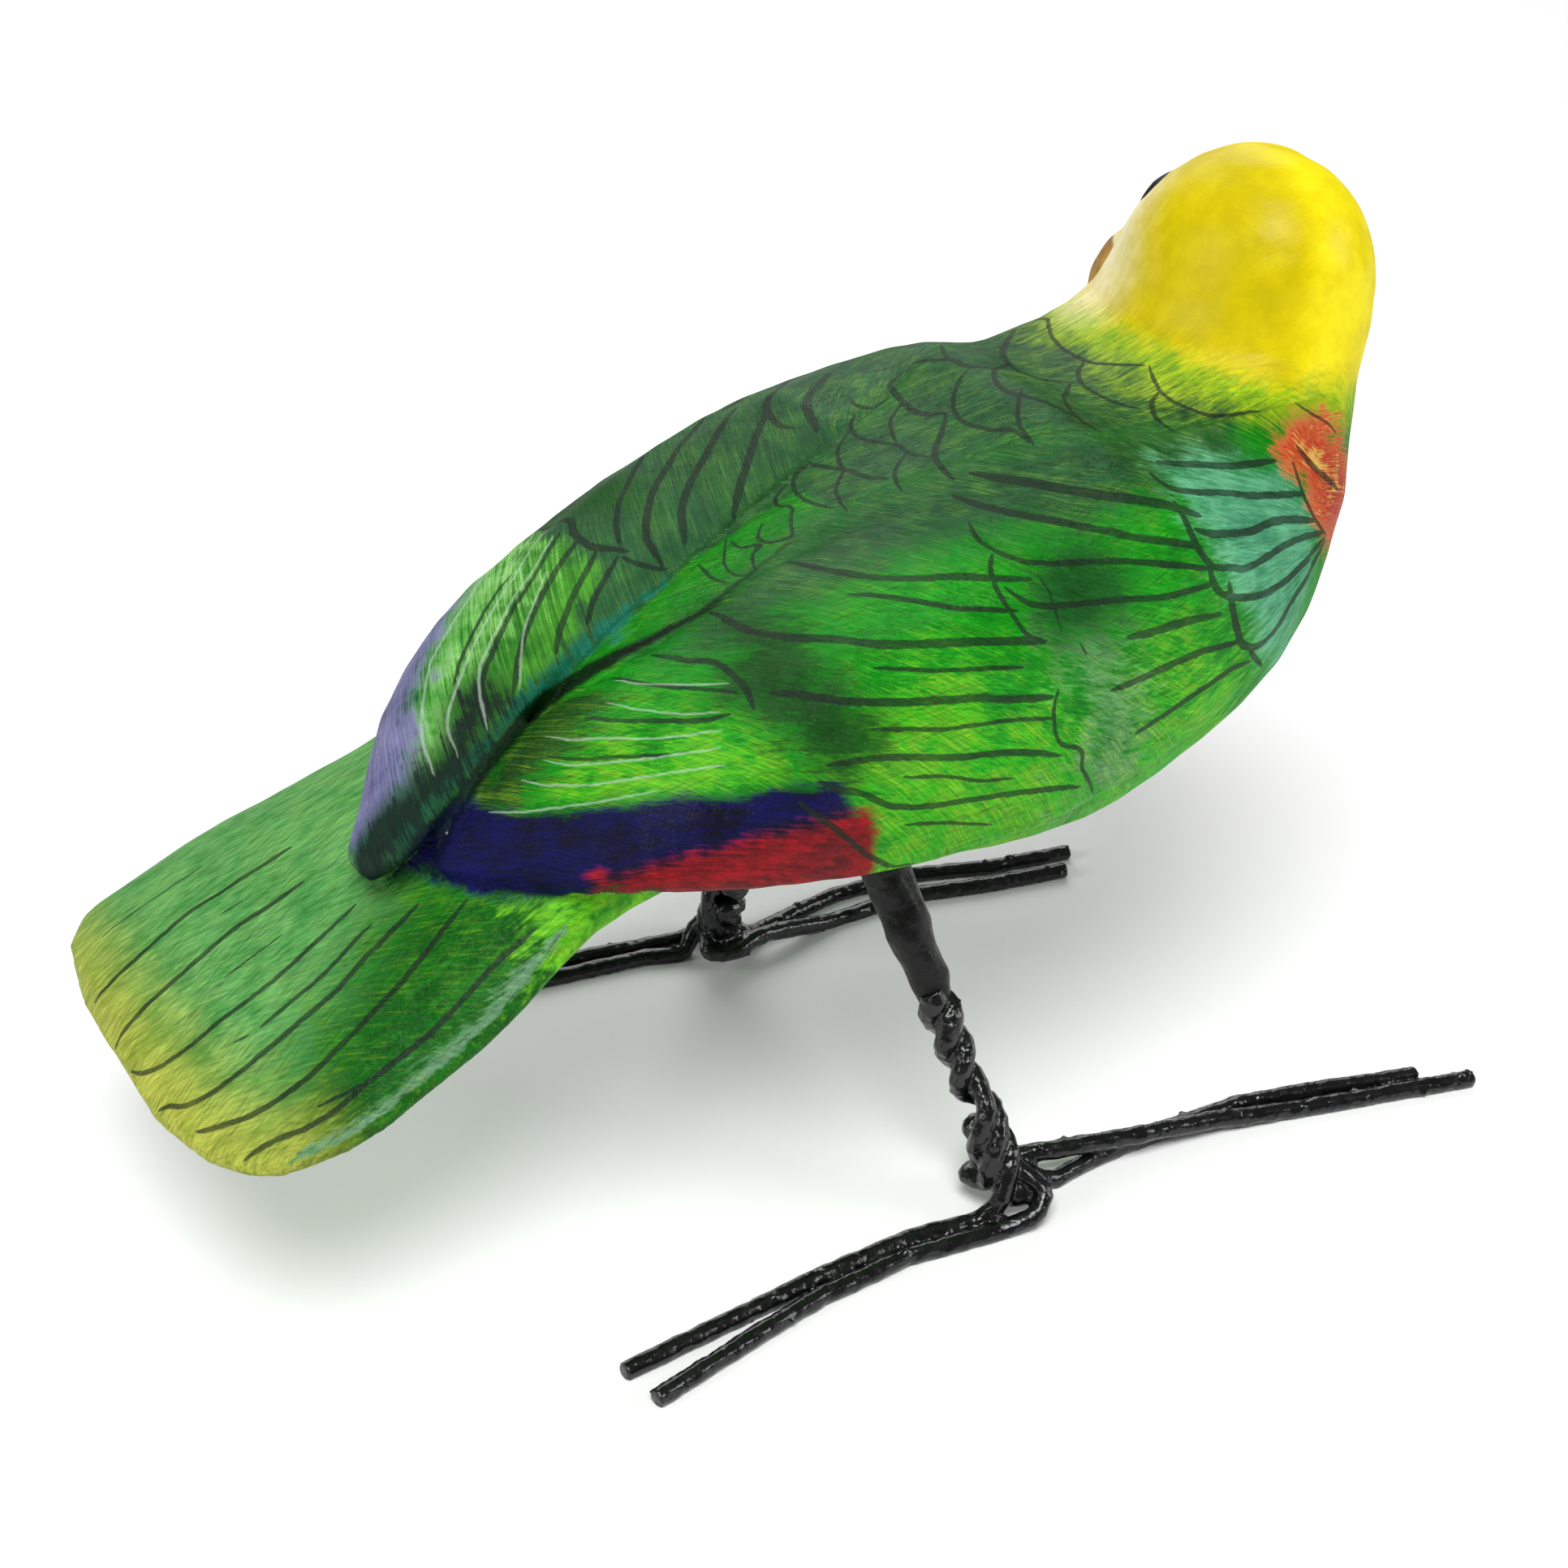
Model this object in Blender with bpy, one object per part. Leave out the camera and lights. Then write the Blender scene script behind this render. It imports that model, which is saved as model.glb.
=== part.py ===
"""Hand-painted ceramic parrot on twisted wire legs.

Metres, +Z up. The bird faces -Y and looks over its left shoulder, so its left is +X.
The ceramic is one solid: a lofted trunk from tail end to crown, a beak and two folded wings.
Each leg is a tapered putty sleeve, two core wires that end as the front toes,
and one hairpin wire that ends as the two back toes.
"""
import bmesh
import bpy
import numpy as np

BIRD_LENGTH = 0.128          # breast to tail end, ceramic only
WIRE_DIAMETER = 0.0016       # painted wire of legs and toes
SLEEVE_TOP_DIAMETER = 0.0048     # putty sleeve where it meets the belly
SLEEVE_BOTTOM_DIAMETER = 0.0038  # putty sleeve above the bare twist
SLEEVE_LENGTH = 0.0125       # putty that shows below the belly
STANCE_WIDTH = 0.055         # between the two ankles
FRONT_TOE_LENGTH = 0.0521    # ankle to the cut end of the longest front toe
BACK_TOE_LENGTH = 0.0428     # ankle to the cut ends of the back toes
TOE_FLAT_DEPTH = 0.00012     # worn flat under the wires where they stand
PIECE_GAP = 0.0003           # clearance between neighbouring pieces

GRID = BIRD_LENGTH / 128.0   # the carving is laid out in 128 steps of its own length
PITCH = WIRE_DIAMETER + PIECE_GAP
PAIR_RADIUS = 0.5 * PITCH    # two strands lie against each other
ROPE_RADIUS = 0.84 * PITCH   # four strands lie round an open middle
ROPE_LAY = 6.5 * PITCH       # length of one full turn of four strands
PAIR_LAY = 4.0 * PITCH       # length of one full turn of two strands
ROPE_START = 2.3 * PITCH     # up the leg, where the four strands have come together
HAIRPIN_TOP = 4.6 * PITCH    # where the hairpin folds over
FOLD_RISE = 0.6 * PITCH      # height of that fold
PAIR_START = 5.9 * PITCH     # from here the core wires draw in
PAIR_FULL = 7.6 * PITCH      # and from here they lie against each other
END_STUB = 0.4 * WIRE_DIAMETER    # straight end of a core wire under the putty
TOE_HEIGHT = WIRE_DIAMETER / 2 - TOE_FLAT_DEPTH
SLEEVE_SHOULDER = 0.75       # share of the putty's widening that is reached halfway up

# Degrees round the leg where each strand starts, and how far a core strand swings aside as the pair forms
STRAND_PLACE = {"loop": 70.0, "straight": -20.0, "outer": 250.0, "inner": 160.0}
PAIR_SWING = {"loop": 45.0, "straight": -45.0}

TRUNK_RINGS = 38
TRUNK_SIDES = 36
WING_RINGS = 26
WING_SIDES = 20
BEAK_RINGS = 9
BEAK_SIDES = 16
WIRE_BEVEL_STEPS = 2            # gives eight sides
SLEEVE_BEVEL_STEPS = 5
FOLD_STEPS = 24
STRAND_TURN = np.radians(22)    # bend between two steps of a wire
STRAIGHT_STEP = 5 * PITCH       # longest step of a wire

# Trunk from tail end to crown, in grid steps and degrees:
# across, back, height, pitch, right, left, above, below, squareness, arch, roll
TRUNK = (
    (3.2, 63.8, 25.6, 25, 7.5, 11.5, 0.7, 0.7, 2.6, 1.0, 8),
    (3.2, 62.4, 26.5, 25, 13.8, 19.0, 1.7, 1.6, 2.6, 2.0, 8),
    (3.0, 58.8, 28.5, 25, 18.8, 22.2, 2.5, 2.1, 2.6, 3.2, 8),
    (2.6, 50.0, 33.1, 25, 21.0, 22.4, 3.1, 2.7, 2.5, 3.8, 7),
    (2.0, 38.0, 38.6, 25, 19.4, 20.2, 4.0, 4.0, 2.4, 3.5, 6),
    (1.0, 26.0, 43.5, 24, 17.0, 19.0, 6.0, 6.5, 2.2, 2.0, 3),
    (0.0, 12.0, 47.5, 20, 19.8, 20.5, 12.0, 11.5, 2.1, 0.0, 0),
    (0.0, -4.0, 49.0, 16, 24.0, 24.0, 17.0, 18.0, 2.1, 0.0, 0),
    (0.0, -20.0, 51.5, 18, 25.5, 25.5, 20.0, 21.5, 2.1, 0.0, 0),
    (0.0, -34.0, 57.0, 34, 25.0, 25.3, 21.2, 20.5, 2.1, 0.0, 0),
    (0.0, -43.5, 64.0, 58, 19.4, 21.3, 16.5, 17.5, 2.1, 0.0, 0),
    (0.3, -49.0, 71.5, 80, 14.8, 16.5, 13.0, 12.8, 2.0, 0.0, 0),
    (0.8, -52.0, 77.0, 90, 13.7, 15.3, 11.9, 11.8, 2.0, 0.0, 0),
    (0.8, -52.5, 81.5, 90, 13.1, 13.4, 10.8, 10.7, 2.0, 0.0, 0),
    (0.5, -52.5, 85.4, 90, 11.3, 10.7, 9.0, 9.1, 2.0, 0.0, 0),
    (0.2, -52.5, 88.4, 90, 8.2, 7.2, 6.3, 6.5, 2.0, 0.0, 0),
    (0.0, -52.5, 90.2, 90, 4.2, 3.8, 3.6, 3.4, 2.0, 0.0, 0),
    (0.0, -52.5, 90.8, 90, 1.0, 1.0, 0.9, 0.9, 2.0, 0.0, 0),
)

# Wings from wrist to tip, in grid steps:
# back, inner edge out, inner edge height, lower edge out, lower edge height, bulge, thickness, root depth
RIGHT_WING = (
    (-45, 20.0, 61.0, 21.0, 57.0, 0.0, 1.0, 0.0),
    (-38, 16.0, 65.0, 22.5, 50.0, 2.0, 4.0, 3.0),
    (-26, 11.0, 66.5, 23.5, 44.0, 5.0, 7.0, 8.0),
    (-10, 8.0, 67.0, 24.5, 41.5, 6.5, 8.0, 9.0),
    (4, 7.0, 64.5, 24.0, 42.0, 6.0, 7.5, 8.0),
    (14, 6.5, 60.0, 23.0, 43.5, 4.5, 7.0, 6.0),
    (24, 3.2, 54.0, 20.5, 45.0, 3.2, 6.0, 2.5),
    (31, -0.5, 48.5, 13.4, 43.2, 2.0, 5.0, 0.5),
    (35, -3.4, 45.2, 9.2, 43.1, 1.2, 4.2, 0.0),
    (37.4, -3.6, 43.9, 6.2, 43.1, 0.6, 3.0, 0.0),
    (39, -3.6, 42.9, 2.0, 42.8, 0.3, 1.8, 0.0),
)
LEFT_WING = (
    (-45, 20.0, 61.0, 21.0, 57.0, 0.0, 1.0, 0.0),
    (-38, 16.0, 68.0, 23.0, 50.0, 3.0, 4.5, 3.0),
    (-26, 10.5, 71.0, 24.0, 46.0, 7.5, 8.0, 8.0),
    (-10, 5.5, 69.0, 25.0, 43.0, 9.2, 8.0, 9.0),
    (4, 2.5, 65.0, 24.5, 43.0, 8.2, 8.0, 8.0),
    (14, 1.0, 60.5, 24.0, 44.0, 6.4, 7.8, 6.0),
    (24, -1.0, 55.0, 21.5, 46.0, 4.9, 7.0, 2.5),
    (33, -4.5, 49.5, 14.6, 46.0, 3.6, 6.0, 0.5),
    (40, -6.2, 45.2, 4.0, 44.0, 1.5, 5.0, 0.0),
    (43, -5.4, 43.6, -0.5, 43.2, 0.4, 2.6, 0.0),
)

# Hooked beak from the face to its tip, in grid steps: across, back, height, half width, half depth, pitch
BEAK = (
    (6.0, -52.0, 75.5, 6.0, 7.0, 15),
    (12.0, -52.0, 74.8, 5.6, 6.4, 30),
    (16.3, -52.0, 72.8, 4.8, 5.4, 48),
    (19.4, -52.0, 69.5, 3.6, 4.1, 66),
    (20.9, -52.0, 65.8, 2.1, 2.4, 82),
    (21.1, -52.0, 63.0, 0.7, 0.8, 94),
)

# Where the legs leave the belly and where the ankles stand, in grid steps
HIP_OUT = 12.0
HIP_BACK = -5.0
HIP_HEIGHT = 33.0
ANKLE_BACK = {"right": -11.1, "left": -7.6}

# Toes from their cut ends to the ankle: wire pitches towards the other foot,
# share of the toe length, wire pitches above the table
TOES = {
    "right_loop": ((-3.3, 1.0, 0), (-2.2, 0.85, 0), (-0.85, 0.66, 0), (0.3, 0.5, 0.2), (0.55, 0.4, 0.75),
                   (0.8, 0.31, 0.9), (1.15, 0.26, 1.0), (1.6, 0.2, 1.15), (2.0, 0.09, 1.25)),
    "right_straight": ((-1.55, 0.91, 0), (-0.65, 0.81, 0), (0.4, 0.67, 0), (1.5, 0.5, 0), (1.5, 0.4, 0),
                       (1.55, 0.3, 0), (1.4, 0.19, 0), (1.1, 0.095, 0.05)),
    "right_outer": ((-2.7, 0.98, 0), (-1.05, 0.65, 0), (-0.35, 0.47, 0), (-0.2, 0.3, 0), (-0.45, 0.16, 0)),
    "right_inner": ((-0.35, 1.0, 0), (0.35, 0.65, 0), (0.75, 0.47, 0), (0.9, 0.3, 0), (0.7, 0.18, 0)),
    "left_loop": ((4.2, 0.81, 0), (3.4, 0.66, 0), (1.6, 0.41, 0), (1.9, 0.2, 0.1), (2.2, 0.11, 0.8)),
    "left_straight": ((2.6, 0.86, 0), (1.7, 0.68, 0), (-0.4, 0.45, 0), (-0.1, 0.2, 0), (0.6, 0.095, 0.05)),
    "left_outer": ((-4.4, 0.98, 0), (-3.5, 0.7, 0), (-2.3, 0.39, 0), (-1.7, 0.18, 0)),
    "left_inner": ((-2.9, 1.0, 0), (-2.1, 0.7, 0), (-1.1, 0.42, 0), (-0.45, 0.2, 0)),
}

# Bends at the ankle, in wire pitches: towards the other foot, back, above the table contact
BENDS = {
    "loop": ((2.5, -1.5, 1.14), (2.95, -0.1, 0.99), (2.45, 1.5, 1.14)),
    "straight": ((1.6, -1.15, 0.99),),
    "outer": ((-1.05, 0.75, 0.05), (-1.15, -0.35, 0.49), (-0.65, -1.05, 1.19)),
    "inner": ((0.3, 1.95, 0.1), (-0.05, 1.2, 1.04)),
}


def smooth_between(knots, values, at):
    """Cubic through the values that never swings past them."""
    knots = np.array(knots, float)
    values = np.array(values, float)
    at = np.asarray(at, float)
    width = np.diff(knots)
    slope = np.diff(values) / width
    tangent = np.zeros(len(knots))
    for i in range(1, len(knots) - 1):
        before, after = slope[i - 1], slope[i]
        if before * after > 0:
            near, far = 2 * width[i] + width[i - 1], width[i] + 2 * width[i - 1]
            tangent[i] = (near + far) / (near / before + far / after)
    tangent[0] = slope[0]
    tangent[-1] = slope[-1]
    i = np.clip(np.searchsorted(knots, at, side="right") - 1, 0, len(knots) - 2)
    u = (at - knots[i]) / width[i]
    return (
        (2 * u**3 - 3 * u**2 + 1) * values[i]
        + (u**3 - 2 * u**2 + u) * width[i] * tangent[i]
        + (3 * u**2 - 2 * u**3) * values[i + 1]
        + (u**3 - u**2) * width[i] * tangent[i + 1]
    )


def trunk_rings(extra=0.0):
    """Rings of the trunk; extra grows every section for the clearance cutter."""
    rows = np.array(TRUNK, float)
    steps = np.linalg.norm(np.diff(rows[:, 0:3], axis=0), axis=1)
    knots = np.concatenate([[0.0], np.cumsum(steps)])
    knots /= knots[-1]
    at = np.linspace(0, 1, TRUNK_RINGS)
    at = np.unique(np.concatenate([at, knots[:3], knots[-5:]]).round(4))
    keep = np.concatenate([[True], np.diff(at) > 0.004])
    table = np.stack([smooth_between(knots, rows[:, j], at[keep]) for j in range(rows.shape[1])], 1)
    angle = np.linspace(0, 2 * np.pi, TRUNK_SIDES, endpoint=False)
    cosine, sine = np.cos(angle), np.sin(angle)
    rings = []
    for across, back, height, pitch, right, left, above, below, square, arch, roll in table:
        wide = np.where(cosine > 0, left, right) + extra / GRID
        tall = np.where(sine > 0, above, below) + extra / GRID
        x = wide * np.sign(cosine) * np.abs(cosine) ** (2 / square)
        z = tall * np.sign(sine) * np.abs(sine) ** (2 / square)
        z = z - arch * (x / max(left, right)) ** 2
        turn, tip = np.radians(roll), np.radians(pitch)
        x, z = x * np.cos(turn) - z * np.sin(turn), x * np.sin(turn) + z * np.cos(turn)
        ring = np.stack([across + x, back + z * np.sin(tip), height + z * np.cos(tip)], 1)
        rings.append(ring * GRID)
    return rings


def wing_rings(rows, side):
    """Upright sections of a folded wing; side is -1 for the right wing and 1 for the left."""
    rows = np.array(rows, float)
    share = (1 - np.cos(np.linspace(0, np.pi, WING_RINGS))) / 2
    at = rows[0, 0] + share * (rows[-1, 0] - rows[0, 0])
    table = np.stack([smooth_between(rows[:, 0], rows[:, j], at) for j in range(rows.shape[1])], 1)
    angle = np.linspace(0, 2 * np.pi, WING_SIDES, endpoint=False)
    rings = []
    for back, inner_out, inner_height, lower_out, lower_height, bulge, thick, root in table:
        inner = np.array([inner_out, inner_height])
        lower = np.array([lower_out, lower_height])
        chord = lower - inner
        outward = np.array([-chord[1], chord[0]]) / np.linalg.norm(chord)
        along = np.cos(angle)
        inside = np.where(np.sin(angle) < 0, root, 0.0)
        lift = bulge * (1 - along**2) + (0.5 * thick + inside) * np.sin(angle)
        flat = (inner + lower) / 2 + 0.5 * along[:, None] * chord + lift[:, None] * outward
        ring = np.stack([side * flat[:, 0], np.full(WING_SIDES, back), flat[:, 1]], 1)
        rings.append(ring * GRID)
    return rings


def beak_rings():
    """Sections of the beak, square to its own hooked line."""
    rows = np.array(BEAK, float)
    knots = np.linspace(0, 1, len(rows))
    at = np.linspace(0, 1, BEAK_RINGS)
    table = np.stack([smooth_between(knots, rows[:, j], at) for j in range(rows.shape[1])], 1)
    angle = np.linspace(0, 2 * np.pi, BEAK_SIDES, endpoint=False)
    rings = []
    for across, back, height, half_width, half_depth, pitch in table:
        tip = np.radians(pitch)
        y = half_width * np.cos(angle)
        rise = half_depth * np.sin(angle)
        ring = np.stack([across + rise * np.sin(tip), back + y, height + rise * np.cos(tip)], 1)
        rings.append(ring * GRID)
    return rings


def loft(name, rings):
    """Closed mesh through rings of equal count, with a face on each end."""
    mesh = bmesh.new()
    rows = [[mesh.verts.new(point) for point in ring] for ring in rings]
    count = len(rows[0])
    for lower, upper in zip(rows, rows[1:]):
        for i in range(count):
            j = (i + 1) % count
            mesh.faces.new((lower[i], lower[j], upper[j], upper[i]))
    mesh.faces.new(rows[0][::-1])
    mesh.faces.new(rows[-1])
    bmesh.ops.recalc_face_normals(mesh, faces=mesh.faces)
    data = bpy.data.meshes.new(name)
    mesh.to_mesh(data)
    mesh.free()
    made = bpy.data.objects.new(name, data)
    parts.objects.link(made)
    return made


def tube(name, points, depth, rounding, radii=None):
    """Round bar along points: a bevelled curve with filled caps, made a welded mesh."""
    curve = bpy.data.curves.new(name + "_line", "CURVE")
    curve.dimensions = "3D"
    curve.bevel_depth = depth
    curve.bevel_resolution = rounding
    curve.use_fill_caps = True
    spline = curve.splines.new("POLY")
    spline.points.add(len(points) - 1)
    for i, point in enumerate(points):
        spline.points[i].co = (point[0], point[1], point[2], 1.0)
        if radii is not None:
            spline.points[i].radius = radii[i]
    line = bpy.data.objects.new(name + "_line", curve)
    parts.objects.link(line)
    bpy.context.view_layer.update()
    graph = bpy.context.evaluated_depsgraph_get()
    data = bpy.data.meshes.new_from_object(line.evaluated_get(graph))
    mesh = bmesh.new()
    mesh.from_mesh(data)
    bmesh.ops.remove_doubles(mesh, verts=mesh.verts, dist=1e-6)
    bmesh.ops.recalc_face_normals(mesh, faces=mesh.faces)
    mesh.to_mesh(data)
    mesh.free()
    made = bpy.data.objects.new(name, data)
    made.matrix_world = line.matrix_world
    parts.objects.link(made)
    bpy.data.objects.remove(line)
    data.name = name
    return made


def block(name, low, high):
    """Box cutter between two corners."""
    mesh = bmesh.new()
    bmesh.ops.create_cube(mesh, size=1.0)
    low, high = np.array(low), np.array(high)
    for vert in mesh.verts:
        vert.co = (low + high) / 2 + np.array(vert.co) * (high - low)
    data = bpy.data.meshes.new(name)
    mesh.to_mesh(data)
    mesh.free()
    made = bpy.data.objects.new(name, data)
    parts.objects.link(made)
    return as_cutter(made)


def as_cutter(item):
    """Moves an object to the hidden cutters."""
    parts.objects.unlink(item)
    cutters.objects.link(item)
    item.hide_render = True
    item.display_type = "WIRE"
    return item


def combine(target, tool, operation):
    """Exact Boolean of target with tool, kept as the target's mesh."""
    step = target.modifiers.new(operation.lower(), "BOOLEAN")
    step.operation = operation
    step.solver = "EXACT"
    step.object = tool
    bpy.context.view_layer.update()
    graph = bpy.context.evaluated_depsgraph_get()
    data = bpy.data.meshes.new_from_object(target.evaluated_get(graph))
    old = target.data
    target.modifiers.remove(step)
    target.data = data
    name = old.name
    bpy.data.meshes.remove(old)
    data.name = name


def through(points, spacing):
    """Even points along a rounded line through the given ones."""
    points = np.array(points, float)
    steps = np.linalg.norm(np.diff(points, axis=0), axis=1)
    knots = np.concatenate([[0.0], np.cumsum(steps)])
    tangent = np.gradient(points, knots, axis=0)
    at = np.linspace(0, knots[-1], max(3, int(round(knots[-1] / spacing)) + 1))
    i = np.clip(np.searchsorted(knots, at, side="right") - 1, 0, len(knots) - 2)
    width = (knots[i + 1] - knots[i])[:, None]
    u = ((at - knots[i]) / width[:, 0])[:, None]
    return (
        (2 * u**3 - 3 * u**2 + 1) * points[i]
        + (u**3 - 2 * u**2 + u) * width * tangent[i]
        + (3 * u**2 - 2 * u**3) * points[i + 1]
        + (u**3 - u**2) * width * tangent[i + 1]
    )


def joined(toe, rope):
    """Toe line carried smoothly into the twist, in close steps."""
    ahead = 6    # steps of the twist that share in the join
    lead = through(list(toe) + [rope[0], rope[ahead], rope[2 * ahead]], 0.2 * PITCH)
    gap = np.linalg.norm(lead - rope[ahead], axis=1)
    return np.concatenate([lead[:int(np.argmin(gap))], rope[ahead:]])


def thinned(points):
    """Keeps only the points where the line has turned or run on far enough."""
    kept = [points[0]]
    heading = None
    run, turned = 0.0, 0.0
    for before, after in zip(points[:-1], points[1:]):
        step = after - before
        length = np.linalg.norm(step)
        if length < 1e-9:
            continue
        if heading is not None:
            turned += np.arccos(np.clip(np.dot(step / length, heading), -1, 1))
            if turned > STRAND_TURN or run > STRAIGHT_STEP:
                kept.append(before)
                run, turned = 0.0, 0.0
        heading = step / length
        run += length
    kept.append(points[-1])
    return np.array(kept)


def on_rope(angle, height, rise, opens=0.0):
    """Points of a strand at given heights along the leg, and how far it is turned there.

    opens is the angle by which a core strand swings aside where the rope becomes a pair.
    """
    axis = rise / np.linalg.norm(rise)
    across = np.array([1.0, 0.0, 0.0]) - axis[0] * axis
    across /= np.linalg.norm(across)
    behind = np.cross(axis, across)
    fine = np.linspace(ROPE_START, np.linalg.norm(rise), 400)
    change = np.clip((fine - PAIR_START) / (PAIR_FULL - PAIR_START), 0, 1)
    change = change**2 * (3 - 2 * change)
    lay = ROPE_LAY + (PAIR_LAY - ROPE_LAY) * change
    turned = np.concatenate([[0.0], np.cumsum(2 * np.pi * np.diff(fine) / lay[1:])])
    share = np.interp(height, fine, change)
    turn = np.radians(angle + opens * share) + np.interp(height, fine, turned)
    radius = ROPE_RADIUS + (PAIR_RADIUS - ROPE_RADIUS) * share
    ring = np.cos(turn)[:, None] * across + np.sin(turn)[:, None] * behind
    return np.asarray(height)[:, None] * axis + radius[:, None] * ring


def rope_heights(low, high):
    """Close heights along the leg."""
    return np.linspace(low, high, int((high - low) / (0.1 * PITCH)))


def toe_line(label, strand, length, forward):
    """Control points from a toe's cut end to the twist; forward is -1 or 1 along Y."""
    low = TOE_HEIGHT / PITCH
    toe = [
        np.array([out * PITCH, forward * share * length, (low + up) * PITCH])
        for out, share, up in TOES[label + "_" + strand]
    ]
    bends = [np.array([out, back, low + up]) * PITCH for out, back, up in BENDS[strand]]
    return toe + bends


bpy.ops.object.select_all(action="DESELECT")
for item in list(bpy.data.objects):
    bpy.data.objects.remove(item)
parts = bpy.data.collections.new("ceramic_parrot_figurine")
bpy.context.scene.collection.children.link(parts)
cutters = bpy.data.collections.new("cutters")
bpy.context.scene.collection.children.link(cutters)

# Ceramic bird
bird = loft("ceramic_bird", trunk_rings())
for label, rings in (
    ("right_wing", wing_rings(RIGHT_WING, -1)),
    ("left_wing", wing_rings(LEFT_WING, 1)),
    ("beak", beak_rings()),
):
    tool = as_cutter(loft(label, rings))
    combine(bird, tool, "UNION")

# Legs, each in a frame of its own with the ankle at zero on the table
belly = as_cutter(loft("belly_clearance", trunk_rings(PIECE_GAP)))
reach = 2 * BIRD_LENGTH
table = block("table", (-reach, -reach, -reach), (reach, reach, 0.0))

for side, label in ((-1, "right"), (1, "left")):
    ankle = np.array([side * STANCE_WIDTH / 2, ANKLE_BACK[label] * GRID, 0.0])
    hip = np.array([side * HIP_OUT * GRID, HIP_BACK * GRID, HIP_HEIGHT * GRID])
    flip = np.array([-side, 1.0, 1.0])
    rise = (hip - ankle) * flip
    leg_length = np.linalg.norm(rise)
    axis = rise / leg_length
    sleeve_low = leg_length - SLEEVE_LENGTH
    core_top = sleeve_low - PIECE_GAP - END_STUB

    # core wires: one comes down behind and rounds the inner side, one comes straight down the front
    wires = []
    heights = rope_heights(ROPE_START, core_top)
    for strand, name in (("loop", "_looped_toe_wire"), ("straight", "_straight_toe_wire")):
        rope = on_rope(STRAND_PLACE[strand], heights, rise, PAIR_SWING[strand])
        toe = toe_line(label, strand, FRONT_TOE_LENGTH, -1)
        path = np.concatenate([thinned(joined(toe, rope)), [rope[-1] + END_STUB * axis]])
        wires.append(tube(label + name, ankle + path * flip, WIRE_DIAMETER / 2, WIRE_BEVEL_STEPS))

    # hairpin: outer back toe up, round the front, folded over at the top, down to the inner back toe
    heights = rope_heights(ROPE_START, HAIRPIN_TOP)
    limbs = {}
    for strand in ("outer", "inner"):
        rope = on_rope(STRAND_PLACE[strand], heights, rise)
        limbs[strand] = joined(toe_line(label, strand, BACK_TOE_LENGTH, 1), rope)
    middle = (STRAND_PLACE["outer"] + STRAND_PLACE["inner"]) / 2
    spread = (STRAND_PLACE["outer"] - STRAND_PLACE["inner"]) / 2
    fold = [
        on_rope(middle + spread * np.cos(turn), np.array([HAIRPIN_TOP + FOLD_RISE * np.sin(turn)]), rise)[0]
        for turn in np.linspace(0, np.pi, FOLD_STEPS)[1:-1]
    ]
    path = thinned(np.concatenate([limbs["outer"], fold, limbs["inner"][::-1]]))
    wires.append(tube(label + "_hairpin_wire", ankle + path * flip, WIRE_DIAMETER / 2, WIRE_BEVEL_STEPS))

    for wire in wires:
        combine(wire, table, "DIFFERENCE")

    # putty sleeve, run up into the belly and cut back to it
    sleeve_middle = (1 - SLEEVE_SHOULDER) * SLEEVE_BOTTOM_DIAMETER + SLEEVE_SHOULDER * SLEEVE_TOP_DIAMETER
    stations = (sleeve_low, sleeve_low + SLEEVE_LENGTH / 2, leg_length, leg_length + SLEEVE_TOP_DIAMETER)
    widths = (SLEEVE_BOTTOM_DIAMETER, sleeve_middle, SLEEVE_TOP_DIAMETER, SLEEVE_TOP_DIAMETER)
    line = [ankle + flip * axis * at for at in stations]
    sleeve = tube(label + "_leg_sleeve", line, 0.5, SLEEVE_BEVEL_STEPS, widths)
    combine(sleeve, belly, "DIFFERENCE")

# Finishes
FINISHES = {
    "ceramic_bird": ("painted_ceramic", (0.06, 0.32, 0.07, 1.0), 0.45, 0.0),
    "leg_sleeve": ("black_painted_putty", (0.02, 0.02, 0.02, 1.0), 0.5, 0.0),
    "wire": ("black_enamelled_wire", (0.012, 0.012, 0.013, 1.0), 0.25, 0.0),
}
for item in list(parts.objects):
    for key, (finish, colour, roughness, metallic) in FINISHES.items():
        if key in item.name:
            paint = bpy.data.materials.new(item.name + "_" + finish)
            paint.use_nodes = True
            shader = paint.node_tree.nodes["Principled BSDF"]
            shader.inputs["Base Color"].default_value = colour
            shader.inputs["Roughness"].default_value = roughness
            shader.inputs["Metallic"].default_value = metallic
            item.data.materials.clear()
            item.data.materials.append(paint)

# The origin goes to the middle of the underside of the whole figurine
corners = np.array([np.array(vert.co) for item in parts.objects for vert in item.data.vertices])
shift = -(corners.min(0) + corners.max(0)) / 2
shift[2] = -corners[:, 2].min()
for item in list(parts.objects) + list(cutters.objects):
    for vert in item.data.vertices:
        vert.co = np.array(vert.co) + shift
for item in parts.objects:
    item.data.polygons.foreach_set("use_smooth", [len(face.vertices) < 6 for face in item.data.polygons])
    item.data.update()
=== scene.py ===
import math

import bmesh
import bpy
import numpy as np
from mathutils import Matrix, Vector
from mathutils.bvhtree import BVHTree
from mathutils.kdtree import KDTree
from numpy.linalg import norm


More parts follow.
